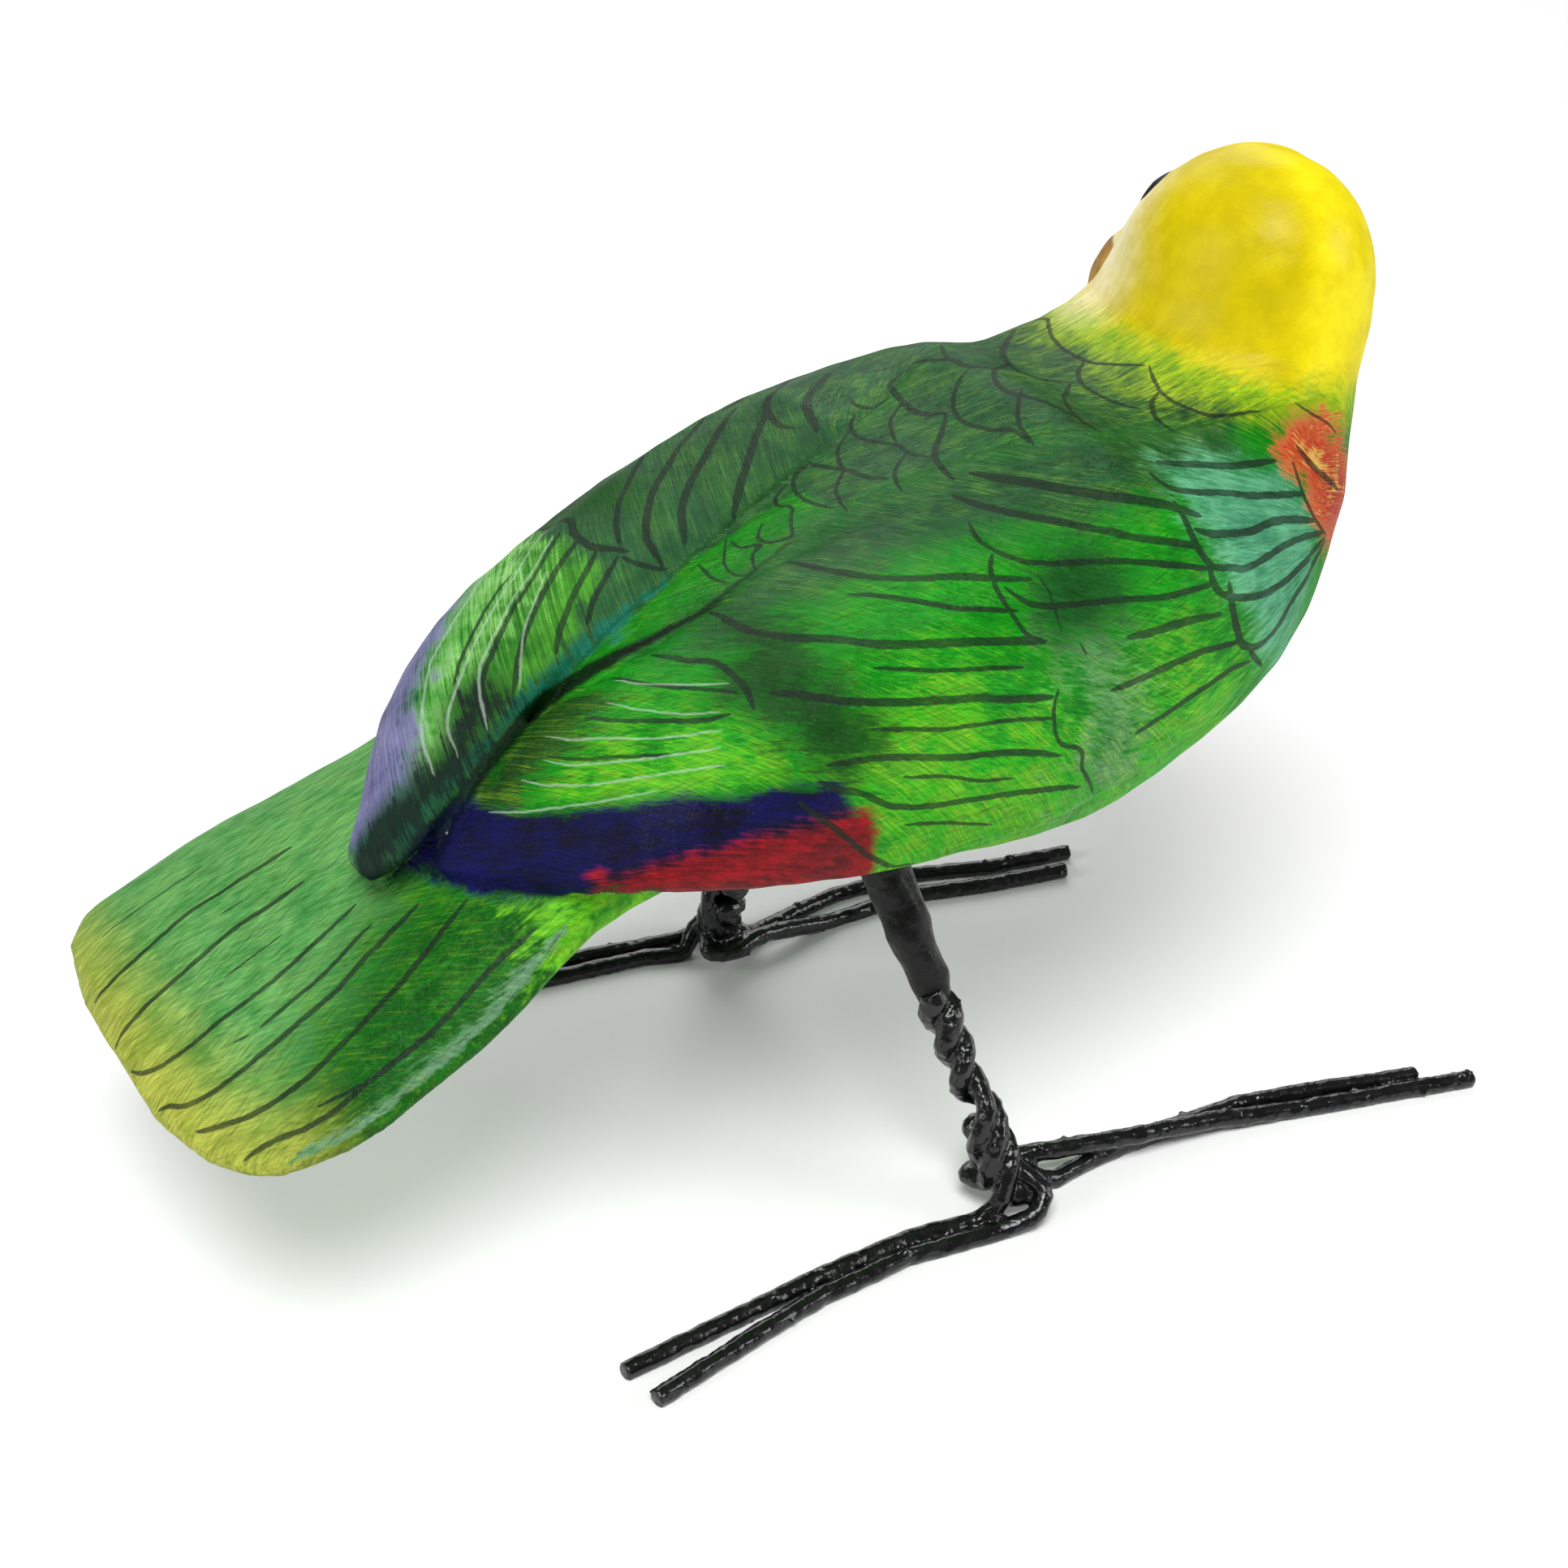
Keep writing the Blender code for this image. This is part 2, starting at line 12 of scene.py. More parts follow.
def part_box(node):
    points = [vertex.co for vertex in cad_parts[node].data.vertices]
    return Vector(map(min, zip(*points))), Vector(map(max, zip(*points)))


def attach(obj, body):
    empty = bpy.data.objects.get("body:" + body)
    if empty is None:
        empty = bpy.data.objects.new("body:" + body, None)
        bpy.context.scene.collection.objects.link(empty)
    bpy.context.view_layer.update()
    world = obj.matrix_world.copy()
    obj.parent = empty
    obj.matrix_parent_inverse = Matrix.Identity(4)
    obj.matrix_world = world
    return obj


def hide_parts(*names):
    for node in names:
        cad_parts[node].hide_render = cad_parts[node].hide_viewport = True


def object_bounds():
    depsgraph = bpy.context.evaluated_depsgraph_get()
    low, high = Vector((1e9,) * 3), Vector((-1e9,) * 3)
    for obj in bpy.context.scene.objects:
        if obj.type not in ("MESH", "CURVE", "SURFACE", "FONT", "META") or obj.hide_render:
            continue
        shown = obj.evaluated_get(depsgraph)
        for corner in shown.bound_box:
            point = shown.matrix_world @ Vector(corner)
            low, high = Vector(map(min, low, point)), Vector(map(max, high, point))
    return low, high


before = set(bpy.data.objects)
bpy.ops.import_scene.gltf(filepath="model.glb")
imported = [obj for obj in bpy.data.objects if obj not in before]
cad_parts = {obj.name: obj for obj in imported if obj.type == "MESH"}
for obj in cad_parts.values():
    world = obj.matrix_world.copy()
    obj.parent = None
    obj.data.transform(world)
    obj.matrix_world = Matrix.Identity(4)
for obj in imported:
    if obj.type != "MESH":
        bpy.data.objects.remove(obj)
cad_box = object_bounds()


# The clay bird. It is one hollow casting of white clay, fired, sanded by hand and painted all over.
# The casting gives its form: the CAD solid is taken as it is, its flat facets are sanded away, and
# the surface keeps the slight unevenness that a hand leaves.
CLAY_CELL = 0.00045
SANDING_PASSES = 26
# The lengths from here on are in millimetres.
HAND_UNEVENNESS = 0.09
BROAD_LUMP = 9
SMALL_LUMP = 4
CROSSED_WAVES = 9
DESIGN_ZERO = np.array((1.0546, 0.3174, 0.0))
EYES = (np.array((10.0, -48.1, 85.2)), np.array((10.0, -56.5, 85.2)))
EYE_RADIUS = 2.1
EYE_RISE = 0.35
NAPE_FILL_MIDDLE = np.array((12.3, -37.5, 71.8))
NAPE_FILL_REACH = 10.0
NAPE_FILL = 0.9


def make_even(piece, cell):
    """Remakes a piece as one closed mesh with cells of one size, so that it can be sanded and painted."""
    cells = piece.modifiers.new("even cells", "REMESH")
    cells.mode = "VOXEL"
    cells.voxel_size = cell
    graph = bpy.context.evaluated_depsgraph_get()
    even = bpy.data.meshes.new_from_object(piece.evaluated_get(graph))
    piece.modifiers.clear()
    piece.data = even


def put(name, data):
    """Puts a new object in the scene."""
    new = bpy.data.objects.new(name, data)
    bpy.context.collection.objects.link(new)
    return new


def even_copy(node, name, cell):
    """An even copy of a CAD node, whose own mesh stays as it is."""
    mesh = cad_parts[node].data.copy()
    work = bmesh.new()
    work.from_mesh(mesh)
    bmesh.ops.remove_doubles(work, verts=work.verts, dist=1e-6)
    work.to_mesh(mesh)
    work.free()
    mesh.materials.clear()
    copy = put(name, mesh)
    make_even(copy, cell)
    return copy


def rows_of(mesh, what):
    """A row for each of the mesh's points: its place in metres ("co"), or which way it faces ("normal")."""
    rows = np.empty(len(mesh.vertices) * 3)
    mesh.vertices.foreach_get(what, rows)
    return rows.reshape(-1, 3)


def sanded(mesh, passes):
    """Takes facets and steps away without shrinking the form: each pass pulls in, then pushes back."""
    rows = rows_of(mesh, "co")
    ends = np.empty(len(mesh.edges) * 2, dtype=np.int64)
    mesh.edges.foreach_get("vertices", ends)
    one = np.concatenate((ends[0::2], ends[1::2]))
    other = np.concatenate((ends[1::2], ends[0::2]))
    count = np.bincount(one, minlength=len(rows))[:, None]
    for share in (0.6, -0.63) * passes:
        sums = [np.bincount(one, rows[other, axis], len(rows)) for axis in range(3)]
        rows = rows + share * (np.stack(sums, axis=1) / count - rows)
    return rows


def waves(rows, wavelength, seed):
    """Slow unevenness between about -1 and 1, from a few crossed waves in seeded directions."""
    drawn = np.random.default_rng(seed)
    total = np.zeros(len(rows))
    for _ in range(CROSSED_WAVES):
        heading = drawn.normal(size=3)
        heading = heading / norm(heading)
        length = wavelength * drawn.uniform(0.7, 1.5)
        total += np.sin(rows @ heading * 2 * math.pi / length + drawn.uniform(0, 2 * math.pi))
    return total * 2 / CROSSED_WAVES


def set_places(mesh, rows, low, high):
    """Writes the points back, none of them outside the CAD solid's own box."""
    mesh.vertices.foreach_set("co", np.clip(rows, low, high).ravel())
    mesh.update()


def clay_places():
    """The bird's points in millimetres from the zero of the design, from which every mark is measured."""
    return rows_of(bird.data, "co") * 1000 + DESIGN_ZERO


bird = even_copy("ceramic_bird", "painted_parrot", CLAY_CELL)
bird_low, bird_high = (np.array(corner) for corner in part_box("ceramic_bird"))
set_places(bird.data, sanded(bird.data, SANDING_PASSES), bird_low, bird_high)
clay = rows_of(bird.data, "co")
facing = rows_of(bird.data, "normal")
lumps = waves(clay * 1000, BROAD_LUMP, 4) * 0.7 + waves(clay * 1000, SMALL_LUMP, 5) * 0.3
set_places(bird.data, clay + facing * (lumps * HAND_UNEVENNESS * 0.001)[:, None], bird_low, bird_high)

# Each eye is a low dome, and a thin fill evens the dip between the nape and the back on the left.
clay = clay_places()
eye_field = np.full(len(clay), -9.0)
for eye in EYES:
    middle = clay[np.argmin(norm(clay - eye, axis=1))]
    eye_field = np.maximum(eye_field, EYE_RADIUS - norm(clay - middle, axis=1))
rise = np.sqrt(np.clip(eye_field / EYE_RADIUS, 0, 1)) * EYE_RISE
to_nape = norm(clay - NAPE_FILL_MIDDLE, axis=1) / NAPE_FILL_REACH
rise += NAPE_FILL * np.clip(1 - to_nape ** 2, 0, 1) ** 2
set_places(bird.data, (clay - DESIGN_ZERO + facing * rise[:, None]) * 0.001, bird_low, bird_high)
bird.data.shade_smooth()
clay = clay_places()
facing = rows_of(bird.data, "normal")
surface = BVHTree.FromPolygons(
    [tuple(row) for row in clay], [tuple(face.vertices) for face in bird.data.polygons], epsilon=0.0
)


# The painted feathers are drawn by hand over the bare form, with the bird held three ways: its right
# wing, its back or its left wing towards the painter. A mark's place is in millimetres, along the
# bird from the middle towards the head, and then across what faces the painter.
HOLDS = {
    "right wing": (np.array((0, -1, 0)), np.array((0.66, 0, 0.75)), np.array((-0.75, 0, 0.66))),
    "left wing": (np.array((0, -1, 0)), np.array((-0.66, 0, 0.75)), np.array((0.75, 0, 0.66))),
    "back": (np.array((0, -1, 0)), np.array((1, 0, 0)), np.array((0, 0, 1))),
}
LOOK_FROM = 200
SURFACE_DROP = 1.5
STROKE_STEP = 0.16
STROKE_GAP = 1.9
TIP_SHARE = 0.45
TIP_LENGTH = 1.8
INK_LAYERS = 5
CHALK_LAYERS = 2

RIGHT_WING_INK = (
    (0.4, (-3.4, 44), (-1.7, 41.6), (1.1, 39.4), (4.3, 38), (8, 37), (10.1, 36.2), (14, 35)),
    (0.3, (-1.7, 38.6), (0.5, 37.5), (3.3, 35.9), (5.8, 34.4), (8, 33.6), (11.2, 32.5)),
    (0.42, (-10.9, 41.5), (-10.2, 38.5), (-8, 36.5), (-5.4, 35.2), (-1.7, 33.3), (1.8, 32.2), (8, 30.6),
     (12.8, 29.4)),
    (0.38, (-11.4, 32.2), (-9.2, 31.2), (-6.1, 29.5), (-2.6, 28.3), (1.8, 27.2), (4.9, 26.5), (8, 25.6),
     (12.3, 24.7)),
    (0.22, (-2.9, 31.5), (2, 29.7), (5.1, 28.9), (10, 27.8)),
    (0.22, (-4.8, 26.7), (-1.7, 25.8), (1.8, 24.8), (8, 23.9), (12.3, 23)),
    (0.34, (-8.9, 25), (-3.9, 24.1), (-0.1, 23.1), (3, 22.3), (8, 21.4), (13, 20)),
    (0.2, (-2.6, 22.2), (1.1, 21.3), (4.9, 20), (8.3, 19.4)),
    (0.34, (-9.8, 24), (-8.3, 23), (-6.1, 21.9), (-3.6, 20.3), (-0.1, 19.4), (3.6, 18.9), (8.3, 18.3),
     (16, 17.2)),
    (0.22, (-2.3, 18.6), (1.8, 17.7), (7, 16.4)),
    (0.3, (-11.7, 23.1), (-10.1, 21.3), (-8.3, 19.8), (-6.7, 18.3), (-4.8, 16.9), (-2.6, 15.9),
     (-0.1, 15.5)),
    (0.48, (14.8, 46.6), (16.7, 45), (19.5, 42.8), (22.3, 40.9), (25.1, 39.4), (28.9, 37.5), (31.4, 36.2)),
    (0.38, (12.3, 45), (14.2, 42.8), (17, 40.6), (20.8, 38.1), (24.5, 35.9), (27.9, 34.4), (30.4, 33.4)),
    (0.32, (12, 41.9), (11.8, 39.7), (13.3, 37.5), (15.4, 36.3), (21.4, 34.7), (25.1, 33.4), (31.1, 31.3)),
    (0.32, (11.1, 35), (12.3, 33.1), (14.5, 32.2), (18.3, 31.6), (22, 31.1), (25.8, 30.3), (31.1, 30.2)),
    (0.4, (20.8, 27.8), (23.9, 27.7), (27, 27.8), (31.5, 27.6)),
    (0.36, (18.3, 23.9), (22, 24.2), (25.8, 24.7), (29.5, 25), (34.2, 25)),
    (0.38, (21.4, 20), (23.9, 20.6), (27, 21.4), (30.1, 22.2), (33.3, 23), (36.1, 23.3)),
    (0.26, (12, 38.4), (10.8, 36.9), (10.3, 34.4), (10.6, 31.9), (11.4, 30), (12.4, 29.2)),
    (0.24, (12.9, 25.3), (12.2, 24.1), (12.2, 22.5), (12.9, 20.9), (15.1, 20), (15.8, 18.4), (18.3, 16.4)),
    (0.12, (14.8, 35.6), (14.8, 33.1), (14.5, 29.7)),
    (0.22, (15.8, 28.4), (16.3, 27.3)),
    (0.4, (30.1, 42.2), (32, 41.7), (34.5, 41.1), (37.9, 40.2), (42.9, 39.7)),
    (0.36, (28.4, 41.2), (29.2, 39.8), (30.8, 38.9), (33.3, 38.3), (36.4, 37.7), (39.5, 36.9), (45.4, 36.2)),
    (0.4, (30.1, 35.2), (31.7, 34.4), (33.9, 34.1), (37, 33.9), (40.8, 34.4), (46.4, 33.8)),
    (0.36, (29.2, 38.1), (29.5, 35.3), (30, 33.1), (31.1, 31.6), (33.3, 31.1), (35.8, 30.9), (42.3, 32.3),
     (48.3, 32.8)),
    (0.36, (30.8, 32.3), (30.8, 30.9), (31.4, 29.4), (33.3, 28.6), (36.4, 28.3), (39.5, 28.8), (42.6, 29.8),
     (48.6, 32.4)),
    (0.42, (32.6, 30), (32.9, 27.5), (33.6, 25.6), (34.8, 24.5), (37, 24.4), (39.5, 25.6), (42, 27.5),
     (48.9, 32.2)),
    (0.34, (34.8, 24.5), (36.7, 23.4), (38.3, 22.7)),
    (0.24, (48.9, 32.5), (46.7, 33.8), (45.8, 35), (45.1, 36.6), (44.8, 39.4)),
    (0.36, (45.8, 40.6), (47, 38.9), (48.9, 37.5), (51.7, 36.3)),
    (0.16, (46.7, 44.4), (48.3, 43.1), (50.1, 42.2), (52, 40.9)),
    (0.34, (-16.7, 39.5), (-15.4, 37.8), (-13.6, 36.3), (-13, 33.8), (-13, 31.3)),
    (0.24, (-20.1, 38.8), (-18.6, 36.6), (-16.4, 35), (-13.6, 33.1)),
    (0.26, (-24, 36), (-22, 34.4), (-19.5, 33), (-17, 31.9), (-14.8, 31.6)),
    (0.18, (-27.6, 34), (-25.8, 32.5), (-23.3, 31.3), (-20.1, 30)),
)
RIGHT_WING_CHALK = (
    (0.13, (-22, 36.6), (-20.4, 34.7), (-18.3, 33.1), (-15.4, 32)),
    (0.13, (-26.7, 35.8), (-25.4, 34.4), (-22.9, 33), (-20.1, 31.6), (-15.8, 30.5)),
    (0.13, (-27.9, 33.8), (-26.4, 32.3), (-23.3, 30.9), (-19.5, 29.8), (-16.4, 29.2)),
    (0.13, (-29.8, 33), (-28.6, 31.6), (-25.8, 30), (-22, 28.9), (-16.4, 27.7)),
    (0.12, (-32.6, 31.4), (-30.8, 30.3), (-28.9, 29.5), (-25.4, 28.3), (-21.7, 27.5)),
    (0.14, (-20.1, 38.4), (-18.9, 36.9), (-16, 35.2), (-13.6, 34.1)),
)
BACK_INK = (
    (0.42, (14, 22), (12.4, 19.9), (9.6, 17.1), (7.8, 15.3), (6.5, 13.1), (4, 10.3), (1.5, 7.4), (-1, 4.6),
     (-2.9, 2.4)),
    (0.4, (7.8, 15.3), (6.8, 12.8), (6.3, 10.3), (7.1, 8.7)),
    (0.5, (15.9, 17.1), (13.4, 14.9), (11.2, 13.1), (9.6, 10.6), (9, 8.7), (8.4, 6.8)),
    (0.42, (6.2, 18.4), (3.6, 15.6), (0.9, 12.9), (-2.3, 9.8), (-4.4, 7.9), (-6.6, 5.4), (-7.9, 2.3)),
    (0.4, (3.7, 19.8), (0.9, 17.3), (-1.6, 15.1), (-4.1, 12.6), (-6.9, 10.1), (-9.1, 7.3), (-10.4, 4.8),
     (-10.5, 1.8)),
    (0.34, (-3.2, 18.8), (-5.7, 16), (-8.2, 13.2), (-10.1, 11), (-11.6, 8.5), (-12.6, 6)),
    (0.42, (-15.2, 18.2), (-15, 15.7), (-13.8, 13.8), (-14.6, 11.3), (-14.7, 9.1), (-14.1, 7.3),
     (-12.3, 4.8)),
    (0.34, (-13, 4.8), (-12.3, 3.2), (-11, 1.9), (-10.1, 1.5)),
    (0.34, (-14.1, 7.3), (-16, 5.7), (-18.5, 3.8), (-20.7, 1.9), (-21.9, 0.4)),
    (0.32, (-13.2, 5.1), (-15.1, 3.8), (-16.9, 2.6), (-18.5, 1)),
    (0.32, (-14.7, 9.8), (-17.3, 8.2), (-20, 6.3), (-22.6, 4.1), (-24.4, 2.3), (-26.6, -0.6)),
    (0.28, (-15.4, 12.6), (-18.5, 9.8), (-21.3, 7.6), (-24.1, 5.7), (-26.6, 3.5), (-28.5, 1.6), (-30, -2.1)),
    (0.2, (-21, 11), (-24.1, 9.1), (-26.9, 6.9), (-29.1, 4.8), (-30.7, 2.9)),
    (0.24, (37.8, 14.6), (37.1, 11.5), (36.2, 9.9), (34.9, 7.4), (34.3, 4.6), (34.2, 2.1), (34.6, -0.4),
     (37.1, -4.4)),
    (0.22, (37.3, -4.6), (36.7, -6), (36.3, -7.9), (36.8, -9.8), (37.8, -11.3), (39.3, -12.6), (43.1, -14)),
    (0.28, (34.2, 1.2), (32.4, -0.4), (31.2, -2.6), (31.2, -5.1), (31.8, -6.9), (33.4, -8.8)),
    (0.28, (36.3, -7.7), (34.9, -8.5), (34, -10.1), (34, -11.6), (34.5, -12.6)),
    (0.36, (34.9, 13.4), (32.8, 11.5), (29.9, 8.4), (27.8, 4.6), (26.8, 2.1), (27, 0.3), (28.4, -1),
     (30.3, -1.9)),
    (0.28, (30.3, -2.1), (28.4, -4.1), (26.8, -6), (25.9, -8.5), (25.9, -10.1), (26.7, -11.9)),
    (0.28, (27.8, 4), (25.6, 2.1), (23.4, 0.3), (22.1, -1.9), (22.1, -4.4), (23.4, -6.6), (25.9, -9.8)),
    (0.34, (20.9, 10.3), (21.5, 7.8), (22.1, 5.3), (22.1, 2.8), (23.7, 0.3)),
    (0.24, (24.9, 11.5), (23.4, 9), (22.1, 6.2)),
    (0.26, (22.1, 2.4), (20.3, 1.5), (18.7, -0.1), (17.8, -1.9), (17.8, -4.1), (18.7, -6.3), (19.9, -7.9),
     (20.3, -10.1)),
    (0.24, (23.2, -4.4), (21.8, -6), (20.6, -7.9), (20.4, -10.7)),
    (0.36, (19.9, 10.3), (18.1, 9.6), (17.1, 7.4), (16.3, 4.6), (16, 2.1), (16.5, 0.3), (17.4, -1)),
    (0.26, (14, 10.3), (13.7, 8.7), (14.6, 7.4), (16.5, 7.1)),
    (0.34, (17.4, -1), (15.9, -2.6), (14, -4.4), (13.4, -6), (13.4, -8.5)),
    (0.26, (12.8, 7.4), (11.5, 5.9), (11, 3.4), (11.5, 1.2), (12.3, -1), (12.4, -2.9), (13.4, -4.8)),
    (0.24, (16.2, 4.6), (14.3, 3.4), (13.1, 1.5), (12.4, -0.7)),
    (0.24, (12.4, -2.3), (10.6, -3.5), (9.6, -4.8), (9.2, -6.6)),
    (0.32, (5.9, 4.3), (6.8, 2.1), (7.6, -0.4), (8.1, -2.6), (9.3, -4.4)),
    (0.22, (11.2, 5.6), (9, 4), (7.8, 1.8), (7.3, 0.3), (5.6, -1.3), (4.8, -3.2), (4.5, -5.1)),
    (0.24, (5.8, 4), (4, 3.4), (3.1, 1.8), (2.8, -0.4), (3.4, -2.6), (4, -3.8)),
    (0.22, (3.1, 3.1), (1.5, 2.4), (0.9, 0.9), (1.5, -0.4), (0.3, -2.3), (-0.6, -3.9), (-2.3, -2.9),
     (-2.6, -1.6), (-1.3, -0.1)),
    (0.22, (-4.4, 0.3), (-4.4, -1.3), (-2.9, -2.6), (-4.1, -3.2), (-4.9, -5.1)),
    (0.22, (-7.9, 0), (-7.9, -2.8), (-7.3, -4.5)),
    (0.16, (-4.4, 1), (-6.3, -2.1), (-6.3, -4.3), (-5.1, -5.3)),
    (0.14, (17.4, 14), (19.9, 13.1), (24, 12)),
    (0.28, (-63.8, 11.4), (-62.6, 11), (-58.5, 10.8), (-54.4, 11), (-51, 10.2), (-47.3, 9.4), (-44.8, 9.1)),
    (0.3, (-64, 5.2), (-62.3, 5), (-58.5, 5), (-55.4, 5), (-51.9, 4.9), (-48.8, 4.4), (-45.7, 3.9)),
    (0.26, (-63.8, 1.8), (-62.9, -0.3), (-61.3, -1.5), (-58.8, -2.2), (-55.7, -2.5), (-52.6, -2.8),
     (-48.5, -2.8), (-43.2, -2.3)),
    (0.24, (-54.1, -5.7), (-51, -5.8), (-47.9, -5.8), (-42.9, -5)),
    (0.18, (-56.3, -5), (-55, -5.6)),
    (0.28, (-63.2, -3.6), (-61.3, -6.1), (-59.1, -7.2), (-55.7, -7.6), (-48.2, -7.9), (-44.8, -7.3),
     (-39.1, -6.5)),
    (0.28, (-61.5, -8.3), (-59.8, -9.8), (-57.3, -11.1), (-54.4, -11.8), (-50.4, -12), (-44.1, -11.2),
     (-35.7, -9.3)),
    (0.28, (-59, -13.1), (-56.3, -13.9), (-53.5, -14.9), (-50.4, -15.4), (-42.6, -15.5), (-36.3, -14.6),
     (-31.9, -14.6)),
    (0.2, (-52.6, -14.2), (-50.7, -14.8), (-48.5, -15.4)),
    (0.14, (-52.6, 7.7), (-50.4, 7.2)),
    (0.12, (-54.8, 1.1), (-49.1, 0.5)),
    (0.16, (-61, 17.5), (-56, 16.9), (-51, 16)),
)
BACK_CHALK = (
    (0.14, (-15.4, 17.6), (-17.9, 15.1), (-20.4, 12.9)),
    (0.16, (-15.4, 15.4), (-17.9, 13.2), (-21, 10.4), (-24.1, 8.2), (-27.3, 5.7), (-30.4, 2.6), (-32.6, 0.1),
     (-33, -2.8)),
    (0.17, (-21.6, 15.4), (-24.1, 12.9), (-27.3, 10.4), (-30.4, 7.9), (-32.6, 4.8), (-34.4, 1.6),
     (-35.2, -0.9), (-35.4, -3.1)),
    (0.14, (-18.8, 8.2), (-21, 6), (-23.5, 3.5), (-26, -0.6)),
    (0.16, (-16, 12.6), (-19.1, 10), (-22.9, 7.3), (-26, 4.8), (-28.5, 2.3), (-29.9, -2.1)),
)


def drawn_line(marks):
    """A smooth line through a stroke's marks, with points a sixth of a millimetre apart."""
    given = np.array(marks, dtype=float)
    ends = np.vstack((2 * given[0] - given[1], given, 2 * given[-1] - given[-2]))
    line = []
    for a, b, c, d in zip(ends, ends[1:], ends[2:], ends[3:]):
        slope = (c - a) / 2
        bend = a - 2.5 * b + 2 * c - d / 2
        turn = 1.5 * (b - c) + (d - a) / 2
        steps = max(2, int(norm(c - b) / STROKE_STEP))
        for t in np.arange(steps) / steps:
            line.append(b + t * slope + t * t * bend + t ** 3 * turn)
    return np.array(line + [given[-1]])


def first_seen(place, out):
    """The point of the clay that the painter sees at a place, looking against the direction out."""
    return surface.ray_cast(Vector(place + LOOK_FROM * out), Vector(-out))[0]


def laid(hold, line):
    """Lays a flat line on the clay, and gives its runs: where the surface drops away, a run ends."""
    along, across, out = HOLDS[hold]
    runs = [[]]
    for h, b in line:
        hit = first_seen(h * along + b * across, out)
        if hit is None or (runs[-1] and (hit - runs[-1][-1]).length > SURFACE_DROP):
            runs.append([])
        if hit is not None:
            runs[-1].append(hit)
    return [np.array(run) for run in runs if len(run) > 4]


def stroke(run, width):
    """A brush stroke along a run, pointed at both ends: its centres, headings and half widths."""
    heading = np.gradient(run, axis=0)
    heading = heading / np.maximum(norm(heading, axis=1), 1e-9)[:, None]
    share = np.linspace(0, 1, len(run))
    from_tip = np.minimum(share, 1 - share) * len(run) * STROKE_STEP
    taper = TIP_SHARE + (1 - TIP_SHARE) * np.clip(from_tip / TIP_LENGTH, 0, 1) ** 0.7
    return run, heading, width * taper


def strokes_of(drawing, hold):
    """Every stroke of a drawing, laid on the clay."""
    return [stroke(run, width) for width, *marks in drawing for run in laid(hold, drawn_line(marks))]


def off_the_beak(run):
    """What is left of a left wing's run beside the back's own drawing and away from the beak."""
    return run[(run[:, 0] > 19.5) & ((run[:, 2] < 62) | (run[:, 1] > -44))]


inked = strokes_of(RIGHT_WING_INK, "right wing") + strokes_of(BACK_INK, "back")
for width, *marks in RIGHT_WING_INK:
    runs = [off_the_beak(run) for run in laid("left wing", drawn_line(marks))]
    inked += [stroke(run, width) for run in runs if len(run) > 12]
chalked = strokes_of(RIGHT_WING_CHALK, "right wing") + strokes_of(BACK_CHALK, "back")


def share_out(strokes, count):
    """Puts strokes that come close to each other in separate layers, so that each keeps clean edges."""
    layers = [[] for _ in range(count)]
    for entry in strokes:
        room = []
        for layer in layers:
            near = math.inf
            for other in layer:
                if norm(other[0].mean(axis=0) - entry[0].mean(axis=0)) < 40:
                    gaps = norm(other[0][::3, None] - entry[0][None, ::3], axis=2)
                    near = min(near, gaps.min())
            room.append(near)
        first = next((i for i, near in enumerate(room) if near > STROKE_GAP), int(np.argmax(room)))
        layers[first].append(entry)
    return [layer for layer in layers if layer]


def lay_ink(layer, name):
    """Writes a layer on the clay's points: how far each is to one side of its stroke, and the
    half width that the stroke has there, which runs below nothing beside it and past its ends."""
    centres = np.vstack([entry[0] for entry in layer])
    headings = np.vstack([entry[1] for entry in layer])
    widths = np.concatenate([entry[2] for entry in layer])
    tips = np.concatenate([np.r_[-1, np.zeros(len(entry[0]) - 2), 1] for entry in layer])
    finder = KDTree(len(centres))
    for index, centre in enumerate(centres):
        finder.insert(centre, index)
    finder.balance()
    found = [finder.find(row) for row in clay]
    index = np.array([hit[1] for hit in found])
    reach = np.array([hit[2] for hit in found])
    offset = clay - centres[index]
    side = np.einsum("ij,ij->i", np.cross(headings[index], facing), offset)
    past = np.maximum(np.einsum("ij,ij->i", headings[index], offset) * tips[index], 0)
    half = widths[index]
    budget = half - past * 1.2 - 2 * np.maximum(reach - half - 0.5, 0)
    values = np.stack((np.clip(side, -3, 3), np.maximum(budget, -2), np.zeros(len(clay))), axis=1)
    bird.data.attributes.new(name, "FLOAT_VECTOR", "POINT").data.foreach_set("vector", values.ravel())


def lay_all(strokes, kind, count):
    """Lays all strokes of a kind, and gives the names of their layers."""
    names = []
    for layer in share_out(strokes, count):
        names.append(f"{kind}_{len(names)}")
        lay_ink(layer, names[-1])
    return names


ink_names = lay_all(inked, "ink", INK_LAYERS)
chalk_names = lay_all(chalked, "chalk", CHALK_LAYERS)


# Under the lines lie the colours, brushed one over the other while each is still a little wet. Each is given
# by its edge as the painter sees it, or by a place on the form, and is kept as the distance in millimetres
# from that edge, inside it being more than nothing. A few of them are painted shade and painted sheen, and
# their names say so.
def held(hold):
    """Every point as the painter sees it: along, across, and how far it is behind what shows."""
    along, across, out = HOLDS[hold]
    behind = np.empty(len(clay))
    for index, row in enumerate(clay):
        hit = first_seen(row - out * (row @ out), out)
        behind[index] = (hit - Vector(row)).length if hit is not None else 0.0
    return np.stack((clay @ along, clay @ across), axis=1), behind


def to_line(rows, start, run):
    """How far each place is from a straight line, and where along the line it is, from 0 to 1."""
    share = np.clip((rows - start) @ run / (run @ run), 0, 1)
    return norm(rows - start - share[:, None] * run, axis=1), share


